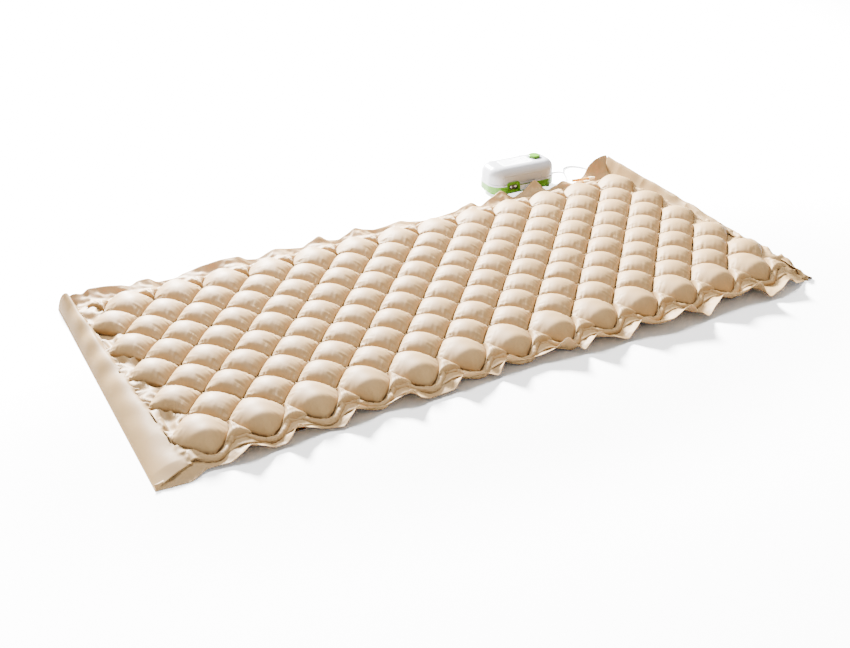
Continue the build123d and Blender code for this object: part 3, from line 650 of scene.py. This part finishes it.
def build_lower_film(scene):
    """The lower film, flat on the floor under the cells."""
    rows, columns = 40, 90
    y, x = np.meshgrid(np.linspace(-1, 1, rows) * UNDER_WIDTH / 2,
                       np.linspace(-1, 1, columns) * UNDER_LENGTH / 2, indexing="ij")
    film = sheet_object("lower_film_sheet", np.stack([x, y, np.full_like(x, UNDER_Z)], -1))
    film = dress(thicken(film, LOWER_FILM), "pad_film")
    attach(film, "pad")
    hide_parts("lower_film")


def edge_drop(x, y):
    """How far the film hangs below the weld plane near the long edges, deepest at the edge cells."""
    even = (x + (COLUMNS - 1) / 4 * PITCH_X) / PITCH_X
    phase = np.where(y < 0, even, even - 0.5)
    low = 0.5 + 0.5 * np.cos(2 * math.pi * phase)
    return (0.003 + 0.018 * low) * smooth((np.abs(y) - 0.370) / 0.06)


def build_weld_film(scene):
    """The flat welded film between the cells."""
    rows, columns = 141, 381
    reach = FIELD_Y + 0.022
    y, x = np.meshgrid(np.linspace(-1, 1, rows) * reach, np.linspace(-1, 1, columns) * FIELD_X,
                       indexing="ij")
    z = WELD_Z - 0.0008 - edge_drop(x, y) + 0.0006 * waves(x, y, 41, 0.03)
    ends = smooth((np.abs(x) - FIELD_X + 0.085) / 0.02)
    z += ends * 0.014 * (creases(np.stack([x, y, z], -1), 2, 0.04) - 0.45)
    web = sheet_object("welded_film", np.stack([x, y, z], -1))
    web = dress(thicken(web, WELDED_FILM), "pad_film")
    # Faces away from the field's edges take the much darker web material: painted shade down in the gaps
    # between the cells.
    web.data.materials.append(MATERIALS["seam_film"])
    for face in web.data.polygons:
        x, y, _ = face.center
        face.material_index = int(abs(x) < FIELD_X - 0.08 and abs(y) < FIELD_Y - 0.08)
    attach(web, "pad")
    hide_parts("weld_lattice")


def knot_tree():
    """Geometry Nodes tree that sets a pinched knot on every point of a mesh."""
    tree = bpy.data.node_groups.new("weld_knots", "GeometryNodeTree")
    add = tree.interface.new_socket
    add("Geometry", in_out="INPUT", socket_type="NodeSocketGeometry")
    add("Knot", in_out="INPUT", socket_type="NodeSocketObject")
    add("Smallest", in_out="INPUT", socket_type="NodeSocketFloat")
    add("Largest", in_out="INPUT", socket_type="NodeSocketFloat")
    add("Seed", in_out="INPUT", socket_type="NodeSocketInt")
    add("Material", in_out="INPUT", socket_type="NodeSocketMaterial")
    add("Geometry", in_out="OUTPUT", socket_type="NodeSocketGeometry")
    inlet, outlet = tree.nodes.new("NodeGroupInput"), tree.nodes.new("NodeGroupOutput")
    source = tree.nodes.new("GeometryNodeObjectInfo")
    place = tree.nodes.new("GeometryNodeInstanceOnPoints")
    size = tree.nodes.new("FunctionNodeRandomValue")
    turn = tree.nodes.new("FunctionNodeRandomValue")
    turn.data_type = "FLOAT_VECTOR"
    turn.inputs["Max"].default_value = (0, 0, 2 * math.pi)
    real = tree.nodes.new("GeometryNodeRealizeInstances")
    paint = tree.nodes.new("GeometryNodeSetMaterial")
    link = tree.links.new
    link(inlet.outputs["Geometry"], place.inputs["Points"])
    link(inlet.outputs["Knot"], source.inputs["Object"])
    link(source.outputs["Geometry"], place.inputs["Instance"])
    link(inlet.outputs["Smallest"], size.inputs[2])
    link(inlet.outputs["Largest"], size.inputs[3])
    link(inlet.outputs["Seed"], size.inputs["Seed"])
    link(size.outputs[1], place.inputs["Scale"])
    link(turn.outputs[0], place.inputs["Rotation"])
    link(place.outputs["Instances"], real.inputs["Geometry"])
    link(real.outputs["Geometry"], paint.inputs["Geometry"])
    link(inlet.outputs["Material"], paint.inputs["Material"])
    link(paint.outputs["Geometry"], outlet.inputs["Geometry"])
    return tree


def build_knots(scene):
    """Small puckers of film where the corners of four cells meet."""
    ring, rows = 16, ((0.0, 0.0048), (0.0022, 0.0050), (0.0048, 0.0034), (0.0085, 0.0004),
                      (0.0085, -0.0016))
    verts = []
    for radius, height in rows:
        for k in range(ring):
            pleat = 1 + 0.30 * math.cos(5 * 2 * math.pi * k / ring) * (radius > 0.002)
            angle = 2 * math.pi * k / ring
            verts.append((radius * pleat * math.cos(angle), radius * pleat * math.sin(angle),
                          height + 0.0007 * math.cos(4 * angle) * (radius > 0.002)))
    faces = grid_faces(len(rows), ring, wrap=True, flip=True)
    faces += [tuple(range(ring)), tuple(range(len(verts) - ring, len(verts)))[::-1]]
    knot = mesh_object("knot", verts, faces)
    spots = set()
    for circuit in (0, 1):
        for x, y, _ in cell_places(circuit):
            for dx, dy in ((PITCH_X / 2, 0), (-PITCH_X / 2, 0), (0, PITCH_Y / 2), (0, -PITCH_Y / 2)):
                spots.add((round(x + dx, 4), round(y + dy, 4)))
    inside = [(x, y, WELD_Z - 0.0004) for x, y in sorted(spots)
              if abs(x) < FIELD_X - 0.04 and abs(y) < FIELD_Y - 0.04]
    knots = mesh_object("weld_knots", inside, [])
    modifier = knots.modifiers.new("knots", "NODES")
    modifier.node_group = knot_tree()
    values = {"Knot": knot, "Smallest": 0.45, "Largest": 0.8, "Seed": 4,
              "Material": MATERIALS["pad_film"]}
    for item in modifier.node_group.interface.items_tree:
        if item.in_out == "INPUT" and item.name in values:
            modifier[item.identifier] = values[item.name]
    bpy.context.view_layer.update()
    baked = bpy.data.meshes.new_from_object(
        knots.evaluated_get(bpy.context.evaluated_depsgraph_get()))
    knots.modifiers.clear()
    knots.data = baked
    bpy.data.objects.remove(knot)
    baked.shade_smooth()
    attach(knots, "pad")


# outline of each hem in millimetres, from the foot end to the head end: x, y and height
NEAR_HEM = ((-1041, -471, 1.5), (-1000, -475, 1.5), (-962, -478, 2), (-914, -458, 8), (-861, -464, 9),
            (-833, -465, 25), (-809, -463, 42), (-784, -464, 27), (-753, -462, 10), (-722, -462, 10),
            (-708, -460, 25), (-688, -450, 48), (-660, -450, 26), (-615, -452, 9), (-576, -464, 8),
            (-551, -456, 27), (-531, -450, 47), (-506, -452, 32), (-460, -446, 16), (-411, -448, 30),
            (-386, -453, 48), (-369, -464, 22), (-341, -462, 9), (-267, -460, 10), (-249, -455, 28),
            (-239, -455, 46), (-193, -452, 34), (-132, -458, 8), (-116, -448, 30), (-99, -444, 52),
            (-52, -450, 26), (1, -450, 24), (32, -455, 32), (83, -454, 56), (104, -463, 32),
            (129, -470, 9), (145, -471, 32), (169, -470, 56), (197, -474, 36), (268, -479, 8),
            (290, -476, 32), (316, -471, 56), (356, -486, 40), (400, -496, 40), (473, -485, 60),
            (499, -492, 34), (536, -496, 10), (568, -485, 34), (601, -477, 56), (649, -478, 44),
            (685, -479, 46), (737, -482, 62), (745, -494, 28), (764, -499, 10), (799, -498, 24),
            (853, -481, 42), (880, -482, 16), (928, -466, 4), (950, -464, 2))


def hem_line(table, x):
    """Y and Z of a hem at each x, in metres, smoothly through the points of its table."""
    points = np.array(table) / 1000
    along = np.clip(np.searchsorted(points[:, 0], x) - 1, 0, len(points) - 2)
    a, b = points[along], points[along + 1]
    share = ((x - a[..., 0]) / (b[..., 0] - a[..., 0]))
    share = 0.55 * smooth(share) + 0.45 * np.clip(share, 0, 1)
    line = a[..., 1:] + (b[..., 1:] - a[..., 1:]) * share[..., None]
    bell = np.exp(-np.linspace(-2, 2, 15) ** 2)
    eased = [np.convolve(np.pad(line[0, :, k], 7, mode="edge"), bell / bell.sum(), mode="valid")
             for k in (0, 1)]
    return (np.broadcast_to(eased[0], x.shape), np.broadcast_to(eased[1], x.shape))


def build_near_skirt(scene):
    """Loose welded hem along the near side; it stands in waves above the floor."""
    columns, rows = 1000, 26
    s, x = np.meshgrid(np.linspace(0, 1, rows), np.linspace(-1.041, 0.9485, columns),
                       indexing="ij")
    corner = smooth((-0.955 - x) / 0.085) + smooth((x - 0.915) / 0.03)
    root_y = -FIELD_Y - 0.006 - 0.040 * corner
    root_z = WELD_Z - 0.0012 - edge_drop(x, np.full_like(x, -0.425)) * (1 - corner) - 0.018 * corner
    hem_y, hem_z = hem_line(NEAR_HEM, x)
    y = root_y + (hem_y - root_y) * s ** 0.9
    lifted = smooth((hem_z - 0.012) / 0.03)
    sag = np.sin(math.pi * s) * 0.007 * lifted
    z = root_z + (hem_z - root_z) * (smooth(s) * (1 - lifted) + s ** 1.5 * lifted) - sag
    edge = np.sin(math.pi * s)
    z += 0.0008 * waves(x, y, 54, 0.03) * edge + 0.0004 * waves(x, y, 55, 0.012) * edge
    points = np.stack([x, y, np.maximum(z, 0.0012)], -1)
    piece = sheet_object("near_skirt_film", points, flip=True)
    piece = dress(thicken(piece, scene.pad_sizes.film), "pad_film")
    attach(piece, "pad")
    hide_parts("side_skirt_near")


FAR_HEM = ((-965, 474, 30), (-930, 480, 40), (-905, 484, 30), (-890, 486, 42), (-845, 487, 38),
           (-800, 487, 30), (-769, 484, 20), (-741, 487, 30), (-714, 486, 30), (-689, 480, 14),
           (-634, 480, 13), (-606, 484, 20), (-549, 487, 29), (-492, 487, 34), (-435, 486, 32),
           (-407, 481, 16), (-378, 480, 12), (-318, 486, 28), (-258, 483, 17), (-228, 480, 13),
           (-197, 484, 25), (-166, 488, 36), (-136, 482, 15), (-104, 479, 11), (-73, 484, 20),
           (-41, 488, 34), (-9, 485, 22), (23, 482, 15), (56, 482, 16), (122, 485, 22),
           (155, 480, 13), (200, 474, 8), (256, 476, 8), (325, 480, 11), (360, 485, 20),
           (395, 488, 26), (421, 478, 8), (468, 485, 26), (512, 490, 42), (558, 480, 10),
           (598, 485, 22), (650, 492, 52), (694, 478, 8), (738, 484, 16), (765, 488, 26),
           (809, 480, 8), (851, 486, 22), (883, 492, 60), (912, 498, 72), (950, 508, 74))


def build_far_skirt(scene):
    """Loose hem along the far side; it stands up in irregular peaks."""
    columns, rows = 900, 22
    s, x = np.meshgrid(np.linspace(0, 1, rows), np.linspace(-0.965, 0.968, columns), indexing="ij")
    root_y = FIELD_Y + 0.008
    root_z = WELD_Z - 0.0012 - edge_drop(x, np.full_like(x, 0.425))
    hem_y, hem_z = hem_line(FAR_HEM, x)
    y = root_y + (hem_y - root_y) * s ** 0.85
    z = root_z + (hem_z - root_z) * s ** 1.2 - 0.007 * np.sin(math.pi * s)
    edge = np.sin(math.pi * s)
    folds = creases(np.stack([x, y, z], -1), 6, 0.03) - 0.5
    z += 0.0025 * waves(x, y, 65, 0.03) * edge + 0.004 * folds * edge
    points = np.stack([x, y, np.maximum(z, 0.0025)], -1)
    piece = sheet_object("far_skirt_film", points)
    piece = dress(thicken(piece, scene.pad_sizes.film), "pad_film")
    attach(piece, "pad")
    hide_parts("side_skirt_far")


def ribbon(name, path, along, flap_length, inward):
    """A band and the flap folded under it as one strip: path(y share, s) gives the band,
    s from its inner edge to the fold; the flap then runs back under the pad."""
    band_rows, flap_rows = 40, 26
    t = np.linspace(0, 1, along)
    rows = []
    for s in np.linspace(0, 1, band_rows):
        rows.append(path(t, np.full_like(t, s)))
    fold = rows[-1]
    for k in range(1, 5):
        angle = math.pi * k / 5
        turned = fold.copy()
        turned[:, 0] -= inward * math.sin(angle) * 0.0005
        turned[:, 2] = 0.00065 + 0.0003 * math.cos(angle)
        rows.append(turned)
    for d in np.linspace(0.0, 1, flap_rows):
        under = fold.copy()
        under[:, 0] += inward * flap_length * d
        under[:, 1] = fold[:, 1] * (1 - 0.12 * min(d * 6, 1))
        under[:, 2] = 0.00035
        rows.append(under)
    return sheet_object(name, np.stack(rows))


def build_foot_end(scene):
    """Folded-under end band on the left, with its flap."""
    def path(t, s):
        fold = np.stack([-1.0425 + 0.065 * t, -0.470 + 0.956 * t], -1)
        inner = np.stack([np.full_like(t, -0.9420), -FIELD_Y - 0.0275 + 0.8825 * t], -1)
        flat = inner + (fold - inner) * s[:, None] ** 0.95
        y = flat[:, 1]
        ridge = np.interp(y, (-0.47, -0.42, -0.3, 0.0, 0.25, 0.40, 0.48),
                          (0.012, 0.024, 0.030, 0.034, 0.038, 0.046, 0.060))
        ridge = ridge * (1 + 0.10 * waves(y, np.zeros_like(y), 75, 0.14))
        bend = 0.27 + 0.05 * waves(y, np.zeros_like(y), 74, 0.12)
        dip = 0.006 * np.clip(0.35 + 1.2 * waves(y, np.zeros_like(y), 76, 0.09), 0, 1)
        slope = np.clip((s - bend) / (1 - bend), 0, 1)
        outside = ridge * np.clip(1 - slope ** 1.9, 0, 1) ** 0.9
        start = WELD_Z * np.interp(y, (-0.47, -0.40), (0.5, 1)) - 0.002
        inside = start + (ridge - start) * smooth(s / bend) - dip * np.exp(-((s - 0.10) / 0.05) ** 2)
        z = np.where(s < bend, inside, outside)
        crumple = creases(np.stack([flat[:, 0], y, np.zeros_like(y)], -1)[None], 3, 0.04)[0]
        z += 0.010 * (crumple - 0.5) * np.exp(-((s - 0.06) / 0.10) ** 2)
        z += 0.0012 * waves(flat[:, 0] * 2, y, 71, 0.16) * np.sin(math.pi * s)
        z = z * (1 - smooth((s - 0.96) / 0.04)) + 0.0009
        return np.stack([flat[:, 0], y, np.maximum(z, 0.00095)], -1)

    piece = ribbon("foot_end_film", path, 260, FLAP_LENGTH, 1)
    # Darker band material: painted shade on the foot band.
    piece = dress(thicken(piece, END_FILM), "band_film")
    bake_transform(piece)
    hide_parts("foot_end_band", "foot_end_flap")


def build_head_end(scene):
    """Raised end band on the right, with its flap."""
    def path(t, s):
        y = -0.462 + 0.940 * t
        crest = np.interp(y, (-0.462, -0.34, -0.25, -0.144, 0, 0.138, 0.288, 0.379, 0.48),
                          (0.006, 0.014, 0.020, 0.029, 0.043, 0.055, 0.067, 0.074, 0.082))
        fold_x = np.interp(y, (-0.462, -0.40, -0.3), (0.966, 0.9715, 0.972))
        inner_x = np.interp(y, (-0.462, -0.38), (0.925, 0.938))
        roll = 0.005 + 0.013 * smooth((y - 0.05) / 0.35)
        crest_x = 0.9665 - roll * 0.8
        up = smooth(s / 0.55)
        inner_z = WELD_Z * 0.95
        x = np.where(s < 0.55, inner_x + (crest_x - inner_x) * (s / 0.55),
                     crest_x + (fold_x - crest_x) * np.sin(math.pi / 2 * (s - 0.55) / 0.45))
        z_up = inner_z + (crest - inner_z) * up
        z_low = inner_z * np.interp(y, (-0.462, -0.43), (0.4, 1)) * (1 - up) + crest * up
        z_up = np.where(crest < WELD_Z, z_low, z_up)
        down = np.clip((s - 0.55) / 0.45, 0, 1)
        z_down = crest * np.cos(math.pi / 2 * down) ** 0.75
        z = np.where(s < 0.55, z_up, z_down)
        crumple = creases(np.stack([x, y, np.zeros_like(y)], -1)[None], 5, 0.045)[0]
        z += 0.011 * (crumple - 0.45) * np.exp(-((s - 0.30) / 0.20) ** 2)
        z += 0.003 * waves(x, y, 72, 0.09) * np.sin(math.pi * np.clip(s * 1.1, 0, 1))
        x += 0.0025 * waves(y, z, 73, 0.12) * np.sin(math.pi * down)
        z = np.clip(z, 0.00095, 0.09)
        z = np.where(s > 0.999, 0.00095, z)
        return np.stack([np.minimum(x, 0.974), y, z], -1)

    piece = ribbon("head_end_film", path, 320, FLAP_LENGTH, -1)
    # Darker band material: painted shade on the head band.
    piece = dress(thicken(piece, END_FILM), "band_film")
    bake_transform(piece)
    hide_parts("head_end_band", "head_end_flap")


# ------------------------------------------------------------------ pump
# route of the lead from the strain relief to its coil, and the coil's centre
ROUTE = [(0.7827, 0.5596, 0.027), (0.8047, 0.5583, 0.027), (0.8307, 0.5686, 0.0125),
         (0.851, 0.596, 0.0029), (0.876, 0.629, 0.0029), (0.911, 0.632, 0.0029),
         (0.935, 0.604, 0.0029), (0.945, 0.575, 0.0029), (0.9555, 0.548, 0.0029),
         (0.9561, 0.526, 0.0029)]
COIL_CENTRE = Vector((0.990, 0.522, 0))
PLUG_START = Vector((0.990, 0.47525, 0.0072))


def cord_points():
    """Route of the lead: off the pump, over the floor, then a tied coil and the plug."""
    points = [Vector(p) for p in ROUTE]
    turns, per_turn = 8.125, 16
    count = int(turns * per_turn)
    for k in range(2, count + 1):
        angle = math.pi + 2 * math.pi * k / per_turn
        share = k / count
        layer = min(int(share * 3), 2)
        inside = share * 3 - layer
        swing = inside if layer % 2 == 0 else 1 - inside
        radius = 0.0345 - 0.011 * swing
        height = 0.0029 + 0.0055 * layer
        points.append(COIL_CENTRE + Vector((radius * math.cos(angle), radius * math.sin(angle), height)))
    return points


def build_cord(scene):
    """Mains lead with its coil; the plug, the tie and the strain relief go with it."""
    points = cord_points()
    curve = bpy.data.curves.new("mains_lead", "CURVE")
    curve.dimensions = "3D"
    curve.bevel_depth, curve.bevel_resolution = CORD_D / 2, 3
    curve.use_fill_caps = True
    spline = curve.splines.new("NURBS")
    route = points + [PLUG_START + Vector((-0.020, 0.0060, 0.0045)),
                     PLUG_START + Vector((-0.011, 0.0005, 0.0010)), PLUG_START]
    spline.points.add(len(route) - 1)
    for target, p in zip(spline.points, route):
        target.co = (*p, 1)
    spline.order_u = 3
    spline.use_endpoint_u = True
    spline.resolution_u = 5
    obj = bpy.data.objects.new("mains_lead", curve)
    bpy.context.scene.collection.objects.link(obj)
    obj.data.materials.append(MATERIALS["sheath"])
    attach(obj, "pump")
    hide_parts("mains_cord", "cord_coil")
    run = sum((b - a).length for a, b in zip(route, route[1:]))
    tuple(ROUTE[0])


def build_label_marks(scene):
    """Generic grey lines and boxes printed on the top and side labels."""
    low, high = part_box("top_label")
    centre = (low + high) / 2
    bars = []
    for row, (start, end) in enumerate(((-0.050, 0.004), (-0.050, -0.014), (-0.050, 0.010),
                                        (-0.050, -0.002), (-0.050, -0.022))):
        side = 0.018 - row * 0.0085
        bars.append((start, end, side, side + (0.0032 if row == 0 else 0.0018)))
    boxes = [(0.030, 0.045, 0.012, 0.014), (0.030, 0.045, -0.016, -0.014),
             (0.030, 0.0312, -0.014, 0.012), (0.0438, 0.045, -0.014, 0.012)]
    verts, faces = [], []
    for a, b, c, d in bars + boxes:
        start = len(verts)
        for u, v in ((a, c), (b, c), (b, d), (a, d)):
            p = centre + PUMP_AXIS * u + PUMP_SIDE * v
            verts.append((p.x, p.y, high.z + 0.00012))
        faces.append((start, start + 1, start + 2, start + 3))
    piece = mesh_object("top_label_print", verts, faces, smooth=False)
    dress(thicken(piece, 0.00008), "print_grey")
    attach(piece, "pump")


def dress_frame(scene):
    """Gives every carried-over part its material."""
    for material, names in NODE_MATERIALS.items():
        for name in names:
            part = frame["nodes"][name]
            part.data.materials.clear()
            part.data.materials.append(MATERIALS[material])
            part.data.shade_smooth()


# ------------------------------------------------------------------ stage
def build_stage(scene):
    """Plain pale floor, soft studio light and the camera."""
    corners = [(a * FLOOR_HALF, b * FLOOR_HALF, FLOOR_Z) for a, b in ((-1, -1), (1, -1), (1, 1), (-1, 1))]
    floor = mesh_object("floor", corners, [(0, 1, 2, 3)], smooth=False)
    paper = bpy.data.materials.new("paper")
    paper.use_nodes = True
    shader = paper.node_tree.nodes["Principled BSDF"]
    shader.inputs["Base Color"].default_value = (0.96, 0.96, 0.96, 1)
    shader.inputs["Roughness"].default_value = 0.9
    # Camera-only glow on the floor, rising from none near the pad to full further out: painted light that
    # whitens the floor, while near the pad the lamps alone light it and cast its shadows.
    place = paper.node_tree.nodes.new("ShaderNodeTexCoord")
    spread = paper.node_tree.nodes.new("ShaderNodeVectorMath")
    spread.operation = "MULTIPLY_ADD"
    spread.inputs[1].default_value = (0.55, 1.0, 0.0)
    spread.inputs[2].default_value = (0.0, 0.2, 0.0)
    distance = paper.node_tree.nodes.new("ShaderNodeVectorMath")
    distance.operation = "LENGTH"
    painted_floor_glow = paper.node_tree.nodes.new("ShaderNodeMapRange")
    painted_floor_glow.interpolation_type = "SMOOTHSTEP"
    for key, value in (("From Min", 0.5), ("From Max", 0.95), ("To Min", 0.0), ("To Max", 4.0)):
        painted_floor_glow.inputs[key].default_value = value
    links = paper.node_tree.links
    links.new(place.outputs["Object"], spread.inputs[0])
    links.new(spread.outputs[0], distance.inputs[0])
    links.new(distance.outputs["Value"], painted_floor_glow.inputs["Value"])
    seen = paper.node_tree.nodes.new("ShaderNodeLightPath")
    shown = math_node(paper.node_tree, "MULTIPLY", painted_floor_glow.outputs["Result"], seen.outputs["Is Camera Ray"])
    links.new(shown, shader.inputs["Emission Strength"])
    shader.inputs["Emission Color"].default_value = (1, 1, 1, 1)
    floor.data.materials.append(paper)
    world = bpy.data.worlds.new("studio")
    scene.world = world
    world.use_nodes = True
    world.node_tree.nodes["Background"].inputs["Color"].default_value = (1.0, 1.0, 1.0, 1)
    world.node_tree.nodes["Background"].inputs["Strength"].default_value = SKY_STRENGTH
    for name, place, size, power in LAMPS:
        data = bpy.data.lights.new(name, "AREA")
        data.shape, data.size, data.energy = "DISK", size, power
        lamp = bpy.data.objects.new(name, data)
        lamp.location = place
        lamp.rotation_euler = (-Vector(place)).to_track_quat("-Z", "Y").to_euler()
        scene.collection.objects.link(lamp)
    data = bpy.data.cameras.new("camera")
    data.lens, data.sensor_width = CAMERA_LENS, 36
    camera = bpy.data.objects.new("camera", data)
    camera.location = CAMERA_PLACE
    camera.rotation_euler = (CAMERA_TILT, 0, CAMERA_TURN)
    scene.collection.objects.link(camera)
    scene.camera = camera


# ------------------------------------------------------------------ operators and panel
def operator(name, label, build):
    """One operator class that runs one building step."""
    def execute(self, context):
        build(context.scene)
        return {"FINISHED"}

    return type(f"AIRPAD_OT_{name}", (bpy.types.Operator,),
                {"bl_idname": f"airpad.{name}", "bl_label": label,
                 "__doc__": build.__doc__ or label, "execute": execute})


STEPS = [
    ("stage", "Stage", build_stage), ("materials", "Materials", make_materials),
    ("cord", "Mains lead", build_cord), ("frame", "Frame parts", dress_frame),
    ("cells", "Air cells", build_cells), ("edge_cells", "Edge cells", build_edge_cells),
    ("channels", "Supply channels", build_channels), ("lower_film", "Lower film", build_lower_film),
    ("weld", "Welded film", build_weld_film),
    ("knots", "Weld knots", build_knots),
    ("near_skirt", "Near skirt", build_near_skirt), ("far_skirt", "Far skirt", build_far_skirt),
    ("foot_end", "Foot end", build_foot_end), ("head_end", "Head end", build_head_end),
    ("label_marks", "Label marks", build_label_marks),
]
OPERATORS = [operator(*step) for step in STEPS]


class AIRPAD_PT_panel(bpy.types.Panel):
    """Sidebar panel with the settings and the building steps."""
    bl_label = "Air Pad"
    bl_space_type = "VIEW_3D"
    bl_region_type = "UI"
    bl_category = "Air Pad"

    def draw(self, context):
        for group in ("pad_sizes", "pad_colours", "pump_colours"):
            box = self.layout.box()
            for key in getattr(context.scene, group).bl_rna.properties.keys():
                if key not in ("rna_type", "name"):
                    box.prop(getattr(context.scene, group), key)
        for name, _, _ in STEPS:
            self.layout.operator(f"airpad.{name}")


CLASSES = [PadColours, PadSizes, PumpColours, *OPERATORS, AIRPAD_PT_panel]


def register():
    """Adds the settings, operators and panel to Blender."""
    for cls in CLASSES:
        bpy.utils.register_class(cls)
    bpy.types.Scene.pad_sizes = bpy.props.PointerProperty(type=PadSizes)
    bpy.types.Scene.pad_colours = bpy.props.PointerProperty(type=PadColours)
    bpy.types.Scene.pump_colours = bpy.props.PointerProperty(type=PumpColours)


def unregister():
    """Takes them away again."""
    for name in ("pad_sizes", "pad_colours", "pump_colours"):
        delattr(bpy.types.Scene, name)
    for cls in reversed(CLASSES):
        bpy.utils.unregister_class(cls)


def main():
    """Builds every piece in order and writes the two boxes."""
    register()
    for name, _, _ in STEPS:
        result = getattr(bpy.ops.airpad, name)()
        if result != {"FINISHED"}:
            raise RuntimeError(f"{name} did not finish")


if __name__ == "__main__":
    main()
